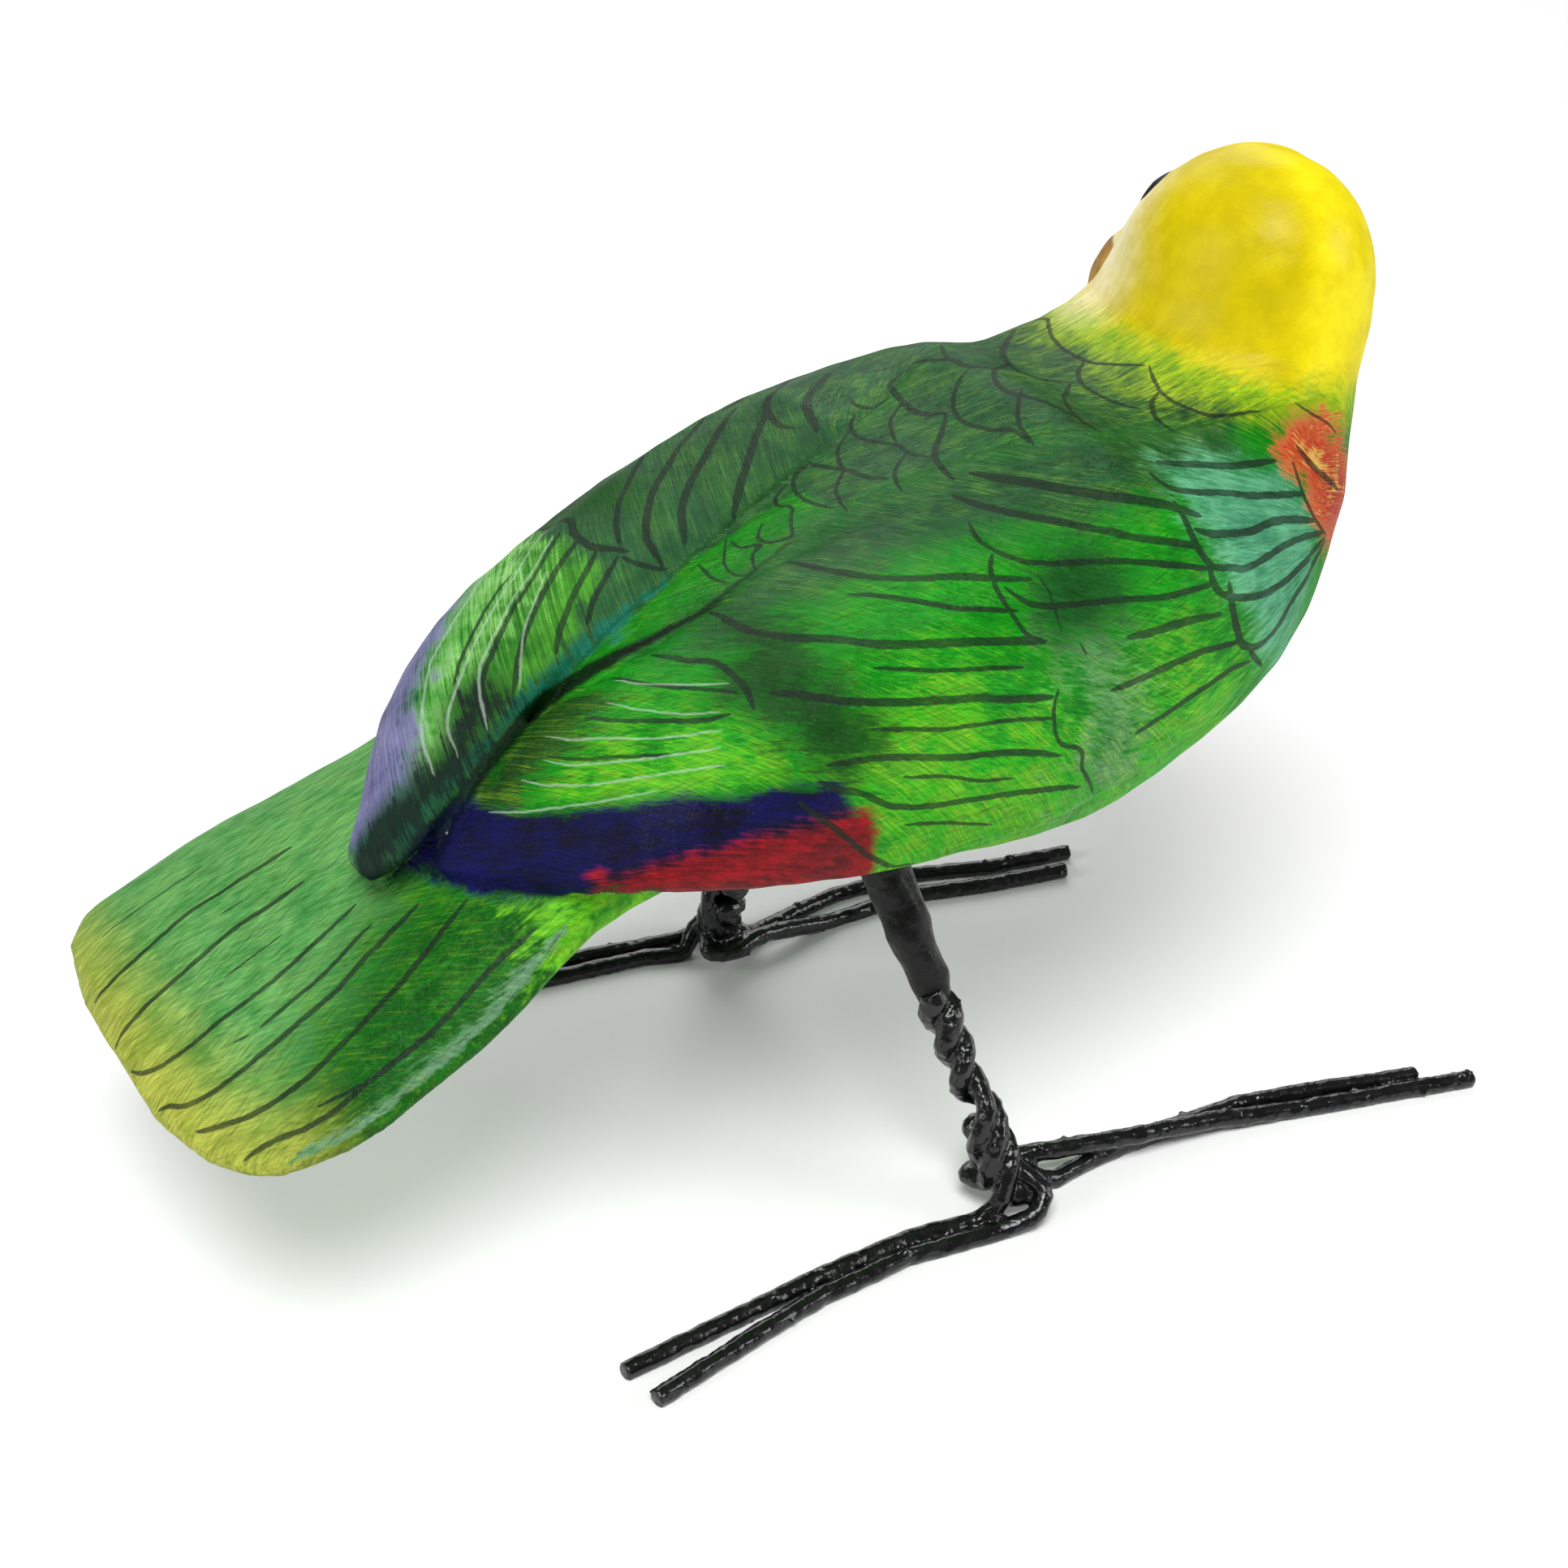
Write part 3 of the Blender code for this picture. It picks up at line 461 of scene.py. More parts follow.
def inside(places, outline):
    """How far each place is inside an outline, in millimetres, and less than nothing outside it."""
    corners = np.array(outline, dtype=float)
    nearest = np.full(len(places), 1e9)
    within = np.zeros(len(places), dtype=bool)
    for a, b in zip(corners, np.roll(corners, -1, axis=0)):
        edge = b - a
        nearest = np.minimum(nearest, to_line(places, a, edge)[0])
        crosses = (a[1] > places[:, 1]) != (b[1] > places[:, 1])
        reach = a[0] + (places[:, 1] - a[1]) * edge[0] / (edge[1] if edge[1] else 1e-9)
        within ^= crosses & (places[:, 0] < reach)
    return np.where(within, nearest, -nearest)


SEEN_WITHIN = 2.5
OUTSIDE = -9
x, y, z = clay.T
right_view, right_behind = held("right wing")
left_view, left_behind = held("left wing")
back_view, back_behind = held("back")
on_right = right_behind < SEEN_WITHIN
on_left = (left_behind < SEEN_WITHIN) & (x > 0)
on_back = back_behind < SEEN_WITHIN

RIGHT_WING_EDGE = (
    (-40, 30), (-33.7, 33.3), (-31.7, 34.9), (-26.7, 38.2), (-23.9, 39.6), (-19.5, 40.8), (-15, 41.3),
    (-10.8, 42), (-8.9, 42.7), (-1.7, 45.5), (1.8, 46.9), (4.9, 47.5), (8, 48), (20, 48), (33, 45),
    (42, 44.5), (50, 44), (60, 40), (52, 24), (36, 10), (-12, 10), (-21.6, 19.4), (-24.2, 20.5),
    (-26.9, 21.4), (-29.4, 22.3), (-31.6, 23.5), (-33.3, 24.6), (-34.9, 25.9), (-36.5, 27.6), (-38.5, 30),
)
WING_PAINT = {
    "turquoise": (
        (30.5, 41.5), (36, 41), (43, 39.5), (46, 35.5), (47, 33), (45, 28), (42, 23), (37, 24), (33, 30),
        (30.5, 36),
    ),
    "navy": (
        (-42, 30), (-36, 33), (-33.6, 33.2), (-31.7, 30.8), (-27.9, 28.9), (-24.5, 27.3), (-20.1, 26.3),
        (-16.4, 25), (-12, 24.4), (-8.5, 23.4), (-6.5, 20.5), (-6, 10), (-30, 10), (-42, 24),
    ),
    "crimson": (
        (-27.4, 22.8), (-25.8, 22), (-22.6, 21.8), (-18, 21.3), (-14, 21.1), (-9.5, 20.7), (-5.6, 20.6),
        (-4.8, 19), (-4.5, 16), (-4.4, 8), (-28, 8),
    ),
    "vermilion": (
        (41.8, 40.5), (43.5, 42.5), (46, 43.2), (48.5, 43), (51, 41.5), (56, 39), (56, 33), (50.5, 31.5),
        (48, 31.5), (46.3, 34), (44.8, 37.5), (42.5, 39.2),
    ),
    "lime": (
        (-29, 31), (-18, 31.5), (-9, 28.5), (3, 27), (14, 23.5), (18, 21), (30, 24), (36, 23.5), (34, 12),
        (-5, 10), (-7, 23), (-12, 25), (-20, 27), (-27, 29.3),
    ),
    # Painted shade: a dark patch on the rear part of the near wing.
    "rear_wing_painted_shade": (
        (-15.5, 33), (-12.5, 38), (-10.4, 41.6), (-7.5, 38.5), (-6.5, 34), (-4.6, 29), (-4, 25.5),
        (-7.5, 23), (-11, 25.5), (-12.5, 29),
    ),
    "shadow": (
        (15.5, 37.5), (20, 37.5), (22.5, 34), (22, 31), (18.5, 28.5), (13.5, 28.5), (12.5, 31), (14, 35),
    ),
    # Painted shade: a darker, greyer green along the top of the near wing.
    "ridge_painted_shade": (
        (-16, 39), (-9, 44), (-1, 47), (8, 49.5), (33, 46.5), (40, 45.5), (40, 40), (31, 40), (27, 38.8),
        (21, 38.5), (12, 40), (3, 40), (-6, 38.8), (-12, 37),
    ),
    # A painted sheen: a paler, greyer green patch on the front of the near wing.
    "wing_painted_sheen": (
        (13, 30), (15, 31.5), (18.5, 31), (20, 27.5), (19.5, 25), (22, 22.5), (23, 18), (19, 15.5), (16, 17),
        (15, 20), (16, 23.5), (13.5, 26),
    ),
    "umber": ((-36, 31), (-32, 36), (-25, 40), (-21, 38), (-27, 33.5), (-31, 30.5)),
}
fields = {"eye": eye_field}

# The beak's places along its curve, each with the radius there. The cere at its root stays cream.
BEAK_LINE = (
    ((6, -52, 75.5), 6.4), ((12, -52, 74.8), 6.2), ((16.3, -52, 72.8), 5.4), ((19.4, -52, 69.5), 4.2),
    ((21, -52, 65), 2.6),
)
BEAK_MARGIN = 0.9
CERE_MARGIN = 2
BEAK_FROM = 14.6
CERE_ABOVE = 77.4
beak = np.full(len(clay), -9.0)
for (start, wide), (end, narrow) in zip(BEAK_LINE, BEAK_LINE[1:]):
    away, share = to_line(clay, np.array(start), np.array(end) - np.array(start))
    beak = np.maximum(beak, wide + (narrow - wide) * share + BEAK_MARGIN - away)
fields["beak"] = np.minimum(beak, np.minimum(x - BEAK_FROM, CERE_ABOVE - z))
# The left wing's paint stops below the head and clear of the beak.
on_left &= (z < 72) & ~((y < -43) & (x > 9) & (fields["beak"] > -4))

# The tail's upper side, row by row: its place along the bird, then its middle, height, half width, crown,
# droop at the sides and roll. It keeps the wings' paint off the tail where they lie over it.
TAIL_ROWS = (
    (12, 0, 47.5, 20, 12, 0, 0), (26, 1, 43.5, 17.6, 6.3, 2, 0.052), (38, 2, 38.6, 19.6, 4.2, 3.5, 0.105),
    (50, 2.6, 33.1, 21.2, 3.4, 3.8, 0.122), (64, 3, 25, 19, 3, 3.8, 0.122),
)
TAIL_ROOT = 25
TAIL_TOP = 46
row_y, *row_sizes = np.array(TAIL_ROWS, dtype=float).T
middle, height, half, crown, droop, roll = (np.interp(y, row_y, size) for size in row_sizes)
sideways = x - middle
beside = np.clip(sideways / half, -1, 1)
roof = np.sqrt(1 - np.abs(beside) ** 2.4) * crown + sideways * roll - beside ** 2 * droop
off_tail = z - height - roof + np.clip(TAIL_ROOT - y, 0, 20)
off_tail -= 2.5 * np.clip((beside - 0.85) / 0.1, 0, 1)
wing_edge = np.minimum(inside(right_view, RIGHT_WING_EDGE), 1.6 * off_tail - 0.7)
left_edge = np.minimum(inside(left_view, RIGHT_WING_EDGE), 1.6 * off_tail - 0.7)


def field_of(outline, view, seen, edge):
    """How far each place is inside an outline and inside an edge too, where the painter sees it."""
    return np.where(seen, np.minimum(inside(view, outline), edge), OUTSIDE)


for name, outline in WING_PAINT.items():
    right_field = field_of(outline, right_view, on_right, wing_edge + 0.5)
    fields[name] = np.maximum(right_field, field_of(outline, left_view, on_left, left_edge + 0.5))
fields["ember"] = fields["vermilion"] - 1.8
fields["spark"] = fields["vermilion"] - 4.2
wing_seen = np.where(on_right, wing_edge, OUTSIDE)
fields["wing"] = np.maximum(wing_seen, np.where(on_left, left_edge, OUTSIDE))

FAR_WING_PAINT = {
    "far_lime": (
        (-37, -4), (-35, 4), (-28, 14), (-20, 24), (-16.5, 24), (-16.5, 13), (-16, 8), (-16, 4.5), (-20, 1),
        (-27, -2),
    ),
    "pale_lime": (
        (-37, -1), (-35, 6), (-28, 15), (-20, 25), (-17.5, 25), (-18.5, 15), (-21, 9.5), (-25, 5), (-30, 2),
        (-34, -2),
    ),
    # A painted sheen: a pale lavender grey along the far wing's rear outer edge.
    "far_edge_painted_sheen": (
        (-48, -3), (-48, 6), (-36, 16), (-28, 24), (-20, 26), (-24, 15), (-31, 7.5), (-35.5, 1),
        (-37.5, -2.2),
    ),
    "tip": (
        (-48, -9), (-48, -2.6), (-38, -2.6), (-33.5, -1.2), (-31.5, 2.5), (-27.5, 2.5), (-27, -0.8),
        (-33, -4.2), (-40, -6.4),
    ),
}
FAR_WING_EDGE = (
    (-43.6, -6), (-40, -6.6), (-33, -5), (-26, -2.2), (-20, -0.4), (-10, 0.9), (0, 3), (12, 6), (20, 10),
    (34, 13), (40, 30), (-20, 30), (-30, 21.5), (-34.5, 14), (-37.4, 9), (-41, 4.3), (-42.6, 0),
)
far_edge = np.minimum(4 * inside(back_view, FAR_WING_EDGE), 8 * off_tail - 6) + 0.3
fields["far_wing"] = np.where(on_back, far_edge, OUTSIDE)
for name, outline in FAR_WING_PAINT.items():
    fields[name] = field_of(outline, back_view, on_back, far_edge)

# The tail has a painted sheen along its rounded near edge, and is lime under the wing and olive at its end.
TAIL_END = (
    (-72, -24), (-72, 34), (-61.5, 34), (-61.5, 18), (-61, 11), (-60.5, 3), (-59.5, -3), (-58.5, -8),
    (-56, -12.5), (-53, -16), (-51, -24),
)
TAIL_NEAR_SIDE = (
    (-20, 2), (-36, -3), (-43, -5), (-48, -8), (-53, -11), (-56, -14), (-58, -24), (-20, -24),
)
# The painted sheen is a thin line where the surface faces up by about this share.
RIM_TURN = 0.46
RIM_SHARE = 0.09
on_tail = z < TAIL_TOP
at_rim = (y > 29) & (x < -15.4)
fields["tail"] = np.where(on_tail, np.clip(y - 22, -9, 9), OUTSIDE)
fields["tail_end"] = inside(back_view, TAIL_END)
fields["tail_shade"] = np.where(y > 16, inside(back_view, TAIL_NEAR_SIDE), OUTSIDE)
fields["tail_rim_painted_sheen"] = np.where(at_rim, (RIM_SHARE - np.abs(facing[:, 2] - RIM_TURN)) * 4, OUTSIDE)
fields["tail_lime"] = np.where(on_tail, np.minimum(32.5 - y, -13.2 - x), OUTSIDE)

# Where the near wing lies on the far one, a teal band follows the edge above a bright valley, and the edge
# itself is painted dark as the shade in the crease.
INNER_BAND = (
    (-43, 33), (-30.1, 37.9), (-26.4, 40.4), (-22, 42.2), (-20.1, 43.3), (-16, 44.8), (-10.4, 46.6),
    (-16, 43.7), (-20.1, 41.9), (-27, 38.6), (-32.6, 35.4), (-38.9, 30.6), (-43, 30.6),
)
VALLEY = (
    (-40, 30), (-26.7, 38.2), (-19.5, 40.8), (-10.8, 42), (-1.7, 45.5), (4, 47.5), (3, 51), (-8, 47.5),
    (-20, 42), (-33, 35),
)
for name, outline in (("inner_band", INNER_BAND), ("valley", VALLEY)):
    fields[name] = field_of(outline, right_view, on_right, 5 * off_tail - 3)
edge_line = 0.42 - np.abs(wing_edge) + np.clip(0.04 * (-14 - right_view[:, 0]), -0.5, 0.2)
in_crease = on_right & (right_view[:, 1] > 31) & (right_view[:, 0] < 0)
fields["crease_painted_shade"] = np.where(in_crease, edge_line, OUTSIDE)

# The hood covers all above a plane that slopes down to the front, and the cheeks are the same on both
# sides of the head's middle.
CHEEK_START = np.array((11.0, -46.5, 83.5))
CHEEK_RUN = np.array((-1.5, 4.0, -6.0))
CHEEK_RADIUS = 4.6
HEAD_MIDDLE = -52.3
fields["hood"] = 0.98 * z - 0.3 * y - 86.3
# Painted shade: the back of the head, down to the nape, is a darker olive yellow.
fields["head_back_painted_shade"] = np.minimum(y + 49.1 + 0.22 * (z - 80.5), 12)
other_side = clay * (1, -1, 1) + (0, 2 * HEAD_MIDDLE, 0)
away = np.minimum(to_line(clay, CHEEK_START, CHEEK_RUN)[0], to_line(other_side, CHEEK_START, CHEEK_RUN)[0])
fields["cheek"] = np.maximum(CHEEK_RADIUS - away, beak + CERE_MARGIN)
for name, values in fields.items():
    bird.data.attributes.new(name, "FLOAT", "POINT").data.foreach_set("value", values)

# The brush follows the feathers, which spread from the shoulder: the first number runs along them and
# the second across, both in mm, and the third follows the slope of the form.
SHOULDER = 52
FEATHER_REACH = 24
MIDDLE_FEATHER = 33
h, b = right_view.T
spread = np.clip((SHOULDER - h) / FEATHER_REACH, 0.15, 1)
near_grain = np.stack((h, (b - MIDDLE_FEATHER) / spread + 0.33 * np.minimum(h - 20, 0)), axis=1)
b = left_view[:, 1]
far_grain = np.stack((h, (b - MIDDLE_FEATHER) / spread + 1.25 * np.minimum(h - 10, 0)), axis=1)
back_grain = np.stack((h, x + 0.2 * z), axis=1)
on_far_wing = (fields["far_wing"] > 0) | (on_left & (fields["wing"] > 0))
grain = np.where((fields["wing"] > 0)[:, None], near_grain, back_grain)
grain = np.where(on_far_wing[:, None], far_grain, grain)
grain = np.column_stack((grain, facing[:, 2] * 2))
bird.data.attributes.new("grain", "FLOAT_VECTOR", "POINT").data.foreach_set("vector", grain.ravel())


# The paint is artists' acrylic, brushed on in thin coats and then varnished: it gives the eye a satin
# shine over fine brush lines, with each colour broken by streaks of the one beneath it.
def paint(code):
    """A colour from its sRGB hex code, in the linear numbers that a shader takes."""
    parts = [int(code[i:i + 2], 16) / 255 for i in (1, 3, 5)]
    return tuple(p / 12.92 if p <= 0.04045 else ((p + 0.055) / 1.055) ** 2.4 for p in parts) + (1.0,)


def fill(tree, node, inputs):
    """Wires or fills the inputs of a node."""
    for key, value in inputs.items():
        if isinstance(value, bpy.types.NodeSocket):
            tree.links.new(value, node.inputs[key])
        else:
            node.inputs[key].default_value = value


def add(tree, kind, inputs, output=0, **settings):
    """Adds a node, of a shader if its kind names nothing else, and gives one of its outputs."""
    node = tree.nodes.new(kind if "Node" in kind else f"ShaderNode{kind}")
    for name, value in settings.items():
        setattr(node, name, value)
    fill(tree, node, inputs)
    return node.outputs[output]


def new_finish(name):
    """An empty material and its shader."""
    finish = bpy.data.materials.new(name)
    finish.use_nodes = True
    return finish, finish.node_tree, finish.node_tree.nodes["Principled BSDF"]


acrylic, tree, shader = new_finish("varnished_acrylic_feather_paint")
place = add(tree, "TexCoord", {}, "Object")
brush = add(tree, "Attribute", {}, "Vector", attribute_name="grain")


def brush_lines(turn, per_mm, detail, rough):
    """Lines drawn out along the brush, or at an angle to it, by how many of them there are to a mm."""
    lines = add(tree, "VectorRotate", {"Vector": brush, "Angle": turn}, rotation_type="Z_AXIS")
    lines = add(tree, "VectorMath", {0: lines, 1: per_mm}, operation="MULTIPLY")
    return add(tree, "TexNoise", {"Vector": lines, "Scale": 1, "Detail": detail, "Roughness": rough})


# A long streak is 7 mm by 0.7 mm and a fine one 1.8 mm by 0.2 mm. A cloud is 6 mm across, a dab 2.4 mm
# and a pit 0.7 mm, and the hand trembles every millimetre.
long_streak = brush_lines(0, (0.14, 1.5, 0.6), 4, 0.62)
fine_streak = brush_lines(0, (0.55, 5.0, 1.3), 3, 0.6)
cloud, dabs, wobble, pits = (
    add(tree, "TexNoise", {"Vector": place, "Scale": scale, "Detail": detail, "Roughness": rough})
    for scale, detail, rough in ((160, 5, 0.6), (420, 4, 0.65), (900, 3, 0.6), (1500, 3, 0.6))
)
streaks = add(tree, "Math", {0: long_streak, 1: fine_streak}, operation="ADD")
streaks = add(tree, "Math", {0: streaks, 1: -1.0}, operation="ADD")
mottle = add(tree, "Math", {0: cloud, 1: dabs}, operation="ADD")
mottle = add(tree, "Math", {0: mottle, 1: -1.0}, operation="ADD")
blend = add(tree, "Math", {0: streaks, 1: mottle}, operation="ADD")
cloudy = add(tree, "MapRange", {0: mottle, 1: -0.3, 2: 0.3}, interpolation_type="SMOOTHSTEP")
tone = add(tree, "MapRange", {0: blend, 1: -0.45, 2: 0.45}, interpolation_type="SMOOTHSTEP")

# Each coat is its colour where the brush is loaded, its colour where it is dry, the field that it
# covers, the width of its soft edge in mm and how ragged the streaks make that edge. The bristle marks
# go over the greens and under the brighter colours.
# Some coats are painted shade and painted sheen, as their names and notes say.
GREEN_COATS = (
    ("#143C1E", "#235C2E", None, 0, 0),
    ("#347E36", "#6CA860", "tail", 2.0, 1.0),
    ("#024602", "#066C06", "tail_shade", 9.0, 3.5),
    ("#2E9A0C", "#7CC81E", "tail_lime", 4.0, 3.0),
    ("#8A9420", "#BCBC50", "tail_end", 10.0, 1.4),
    # A painted sheen: a thin pale line along the tail's rim.
    ("#7E9E84", "#4A7E52", "tail_rim_painted_sheen", 0.8, 0.9),
    ("#046E06", "#0A9A12", "wing", 3.0, 1.5),
    ("#1A4628", "#296436", "far_wing", 1.5, 1.0),
    ("#08A00C", "#54AE12", "lime", 8.0, 6.0),
    ("#046404", "#0A8A0C", "valley", 0.8, 0.5),
    # Painted shade: a darker, greyer green along the top of the near wing.
    ("#103A1A", "#225C2E", "ridge_painted_shade", 5.0, 3.0),
    # A painted sheen: a paler, greyer green patch on the front of the near wing.
    ("#2A7030", "#66A062", "wing_painted_sheen", 5.0, 5.0),
    ("#10280A", "#1A480C", "umber", 3.0, 3.0),
)
BRIGHT_COATS = (
    # Painted shade: a dark patch on the rear part of the near wing.
    ("#063006", "#10500C", "rear_wing_painted_shade", 5.0, 3.6),
    ("#08340A", "#12581A", "shadow", 5.5, 3.6),
    ("#125C0A", "#4C9A28", "far_lime", 2.0, 2.0),
    ("#2C8A1A", "#92CC74", "pale_lime", 6.0, 4.0),
    ("#08582A", "#16705C", "inner_band", 1.0, 1.6),
    # Painted shade: a dark line in the crease along the near wing's upper edge.
    ("#021404", "#042806", "crease_painted_shade", 0.5, 0.3),
    ("#2F7E58", "#62AC80", "turquoise", 5.0, 2.5),
    ("#00000A", "#02044A", "navy", 1.4, 0.7),
    ("#4E060C", "#9C1219", "crimson", 1.4, 0.8),
    # A painted sheen: a pale lavender grey along the far wing's rear outer edge.
    ("#50507C", "#7C7CA2", "far_edge_painted_sheen", 4.0, 3.0),
    ("#030A08", "#0A281C", "tip", 3.0, 3.0),
    ("#6A9C0A", "#A8BC08", "hood_low", 4.4, 1.8),
    ("#D4C200", "#E8D812", "hood", 4.4, 1.2),
    # Painted shade: the back of the head is a darker olive yellow.
    ("#BCAA00", "#CEBC00", "head_back_painted_shade", 3.0, 0.8),
    ("#DCCE88", "#EAE2BA", "cheek", 9.0, 0.8),
    ("#B4401C", "#DC8A50", "vermilion", 1.4, 3.0),
    ("#8E0C0A", "#C82014", "ember", 0.8, 5.0),
    ("#D08A28", "#DCB860", "spark", 1.2, 6.0),
    ("#5E5034", "#B8883C", "beak", 0.6, 0.3),
    ("#040404", "#080808", "eye", 0.12, 0.0),
)
CLOUDY_COATS = ("hood", "head_back_painted_shade", "cheek", "beak")
HOOD_BORDER = 4.0
HEAD_SHADE_BORDER = 0.6
hood_field = add(tree, "Attribute", {}, "Fac", attribute_name="hood")


def brushed(colour, coats):
    """Brushes each coat over the last, its edge torn by the streaks of the brush."""
    for loaded, dry, field, soft, ragged in coats:
        share = cloudy if field in CLOUDY_COATS else tone
        coat = add(tree, "Mix", {0: share, 6: paint(loaded), 7: paint(dry)}, 2, data_type="RGBA")
        if field is None:
            colour = coat
            continue
        if field == "hood_low":
            edge = add(tree, "Math", {0: hood_field, 1: HOOD_BORDER}, operation="ADD")
        else:
            edge = add(tree, "Attribute", {}, "Fac", attribute_name=field)
        # The painted shade on the back of the head stays inside the hood.
        if field == "head_back_painted_shade":
            below = add(tree, "Math", {0: hood_field, 1: HEAD_SHADE_BORDER}, operation="ADD")
            edge = add(tree, "Math", {0: edge, 1: below}, operation="MINIMUM")
        torn = add(tree, "Math", {0: blend, 1: ragged * 2.0, 2: edge}, operation="MULTIPLY_ADD")
        over = add(tree, "MapRange", {0: torn, 1: -soft / 2, 2: soft / 2}, interpolation_type="SMOOTHSTEP")
        colour = add(tree, "Mix", {0: over, 6: colour, 7: coat}, 2, data_type="RGBA")
    return colour


# Bristle marks, 3 mm by 0.2 mm, cross the greens at three angles: lime and pale ones mostly where the
# wing is lime, dark ones everywhere.
BRISTLES = ((0.55, "#9CC81C", 0.6, True), (-0.35, "#032C08", 0.5, False), (0.85, "#4CA838", 0.34, True))
colour = brushed(None, GREEN_COATS)
lime_field = add(tree, "Attribute", {}, "Fac", attribute_name="lime")
on_lime = add(tree, "MapRange", {0: lime_field, 1: -6.0, 2: 2.0, 3: 0.3, 4: 1.0})
for turn, code, cover, follows_lime in BRISTLES:
    marks = brush_lines(turn, (0.32, 5.2, 1.6), 4, 0.65)
    marks = add(tree, "Math", {0: mottle, 1: 0.4, 2: marks}, operation="MULTIPLY_ADD")
    marks = add(tree, "MapRange", {0: marks, 1: 0.5, 2: 0.72, 3: 0.0, 4: cover})
    if follows_lime:
        marks = add(tree, "Math", {0: marks, 1: on_lime}, operation="MULTIPLY")
    colour = add(tree, "Mix", {0: marks, 6: colour, 7: paint(code)}, 2, data_type="RGBA")
colour = brushed(colour, BRIGHT_COATS)

# The lines: black ink that shows a little green through it, and thinned white. Both swing with the
# hand by up to 0.15 mm, swell and starve with the load of the brush, and are worn in places.
SWING = 0.30
for names, code, cover in ((ink_names, "#122016", 0.9), (chalk_names, "#B8CCB8", 0.42)):
    drawn = None
    for name in names:
        line = add(tree, "Attribute", {}, "Vector", attribute_name=name)
        parts = add(tree, "SeparateXYZ", {0: line}).node
        swing = add(tree, "Math", {0: wobble, 1: SWING, 2: -SWING / 2}, operation="MULTIPLY_ADD")
        swing = add(tree, "Math", {0: parts.outputs[0], 1: swing}, operation="ADD")
        swing = add(tree, "Math", {0: swing}, operation="ABSOLUTE")
        load = add(tree, "Math", {0: dabs, 1: 0.5, 2: 0.75}, operation="MULTIPLY_ADD")
        load = add(tree, "Math", {0: parts.outputs[1], 1: load}, operation="MULTIPLY")
        mark = add(tree, "Math", {0: load, 1: swing}, operation="SUBTRACT")
        mark = add(tree, "MapRange", {0: mark, 1: -0.04, 2: 0.08}, interpolation_type="SMOOTHSTEP")
        if drawn is not None:
            mark = add(tree, "Math", {0: drawn, 1: mark}, operation="MAXIMUM")
        drawn = mark
    wear = add(tree, "MapRange", {0: cloud, 1: 0.3, 2: 0.7, 3: cover, 4: cover * 0.8})
    drawn = add(tree, "Math", {0: drawn, 1: wear}, operation="MULTIPLY")
    colour = add(tree, "Mix", {0: drawn, 6: colour, 7: paint(code)}, 2, data_type="RGBA")

# A dry brush leaves a fine hatch over everything, hardly seen on the hood, and a few of the smallest
# chips show the white clay, each under half a millimetre.
HATCH_DEPTH = 0.3
CHIP_CELL = 170.0
CHIP_CHANCE = 0.14
CHIP_COVER = 0.75
hatch = brush_lines(0.4, (0.35, 3.6, 0.8), 4, 0.7)
depth = add(tree, "MapRange", {0: hatch, 1: 0.3, 2: 0.7, 3: -HATCH_DEPTH, 4: HATCH_DEPTH})
quiet = add(tree, "MapRange", {0: hood_field, 1: -2.0, 2: 2.0, 3: 1.0, 4: 0.07})
depth = add(tree, "Math", {0: depth, 1: quiet, 2: 1.0}, operation="MULTIPLY_ADD")
colour = add(tree, "VectorMath", {0: colour, 1: depth}, operation="MULTIPLY")
chips = add(tree, "TexVoronoi", {"Vector": place, "Scale": CHIP_CELL}).node
close = add(tree, "MapRange", {0: chips.outputs["Distance"], 1: 0.035, 2: 0.02})
chance = add(tree, "SeparateColor", {0: chips.outputs["Color"]})
chance = add(tree, "Math", {0: chance, 1: 1 - CHIP_CHANCE}, operation="GREATER_THAN")
chips = add(tree, "Math", {0: close, 1: chance}, operation="MULTIPLY")
chips = add(tree, "Math", {0: chips, 1: CHIP_COVER}, operation="MULTIPLY")
colour = add(tree, "Mix", {0: chips, 6: colour, 7: paint("#D8D6CC")}, 2, data_type="RGBA")

# The varnish is a thin, weak coat that follows the hatch and the pits of the paint.
height = add(tree, "Math", {0: hatch, 1: dabs}, operation="ADD")
height = add(tree, "Math", {0: height, 1: pits}, operation="ADD")
strength = add(tree, "MapRange", {0: hood_field, 1: -2.0, 2: 2.0, 3: 0.6, 4: 0.14})
relief = add(tree, "Bump", {"Height": height, "Distance": 0.0003, "Strength": strength})
gloss = add(tree, "MapRange", {0: cloud, 1: 0.3, 2: 0.7, 3: 0.3, 4: 0.44})
fill(tree, shader, {
    "Base Color": colour, "Roughness": 0.6, "Specular IOR Level": 0.0, "Normal": relief,
    "Coat Weight": 0.32, "Coat IOR": 1.48, "Coat Roughness": gloss, "Coat Normal": relief,
})
bird.data.materials.append(acrylic)
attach(bird, "root")
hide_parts("ceramic_bird")


# The legs. Each is three lengths of soft iron wire, twisted together below the body and bent out into
# toes, held by a putty sleeve at the belly. The whole leg is dipped in thick black enamel, which fills
# the gaps between the wires, dries in beads and covers the place where the sleeve ends.
WIRE_CELL = 0.00022
SLEEVE_CELL = 0.00026
POOL_RADIUS = 0.0023
POOL_FLATTENED = 0.75
SLEEVE_RUN_DOWN = 0.0026
BEADS = {"Beads per Square Metre": 60000.0, "Bead Radius": 0.0003}
# These lengths are in millimetres, and those above in metres.
ENAMEL_COAT = 0.16
ENAMEL_AT_SLEEVE = 0.5
SLEEVE_REACH = 7.0
WET_FILL = 0.18
WET_DRAWN_BACK = 0.14
TWIST_RADIUS = 8.5
TWIST_FADE = 3.5
RIM_HEIGHT = 5.0
RIM_PULLED_IN = 0.3


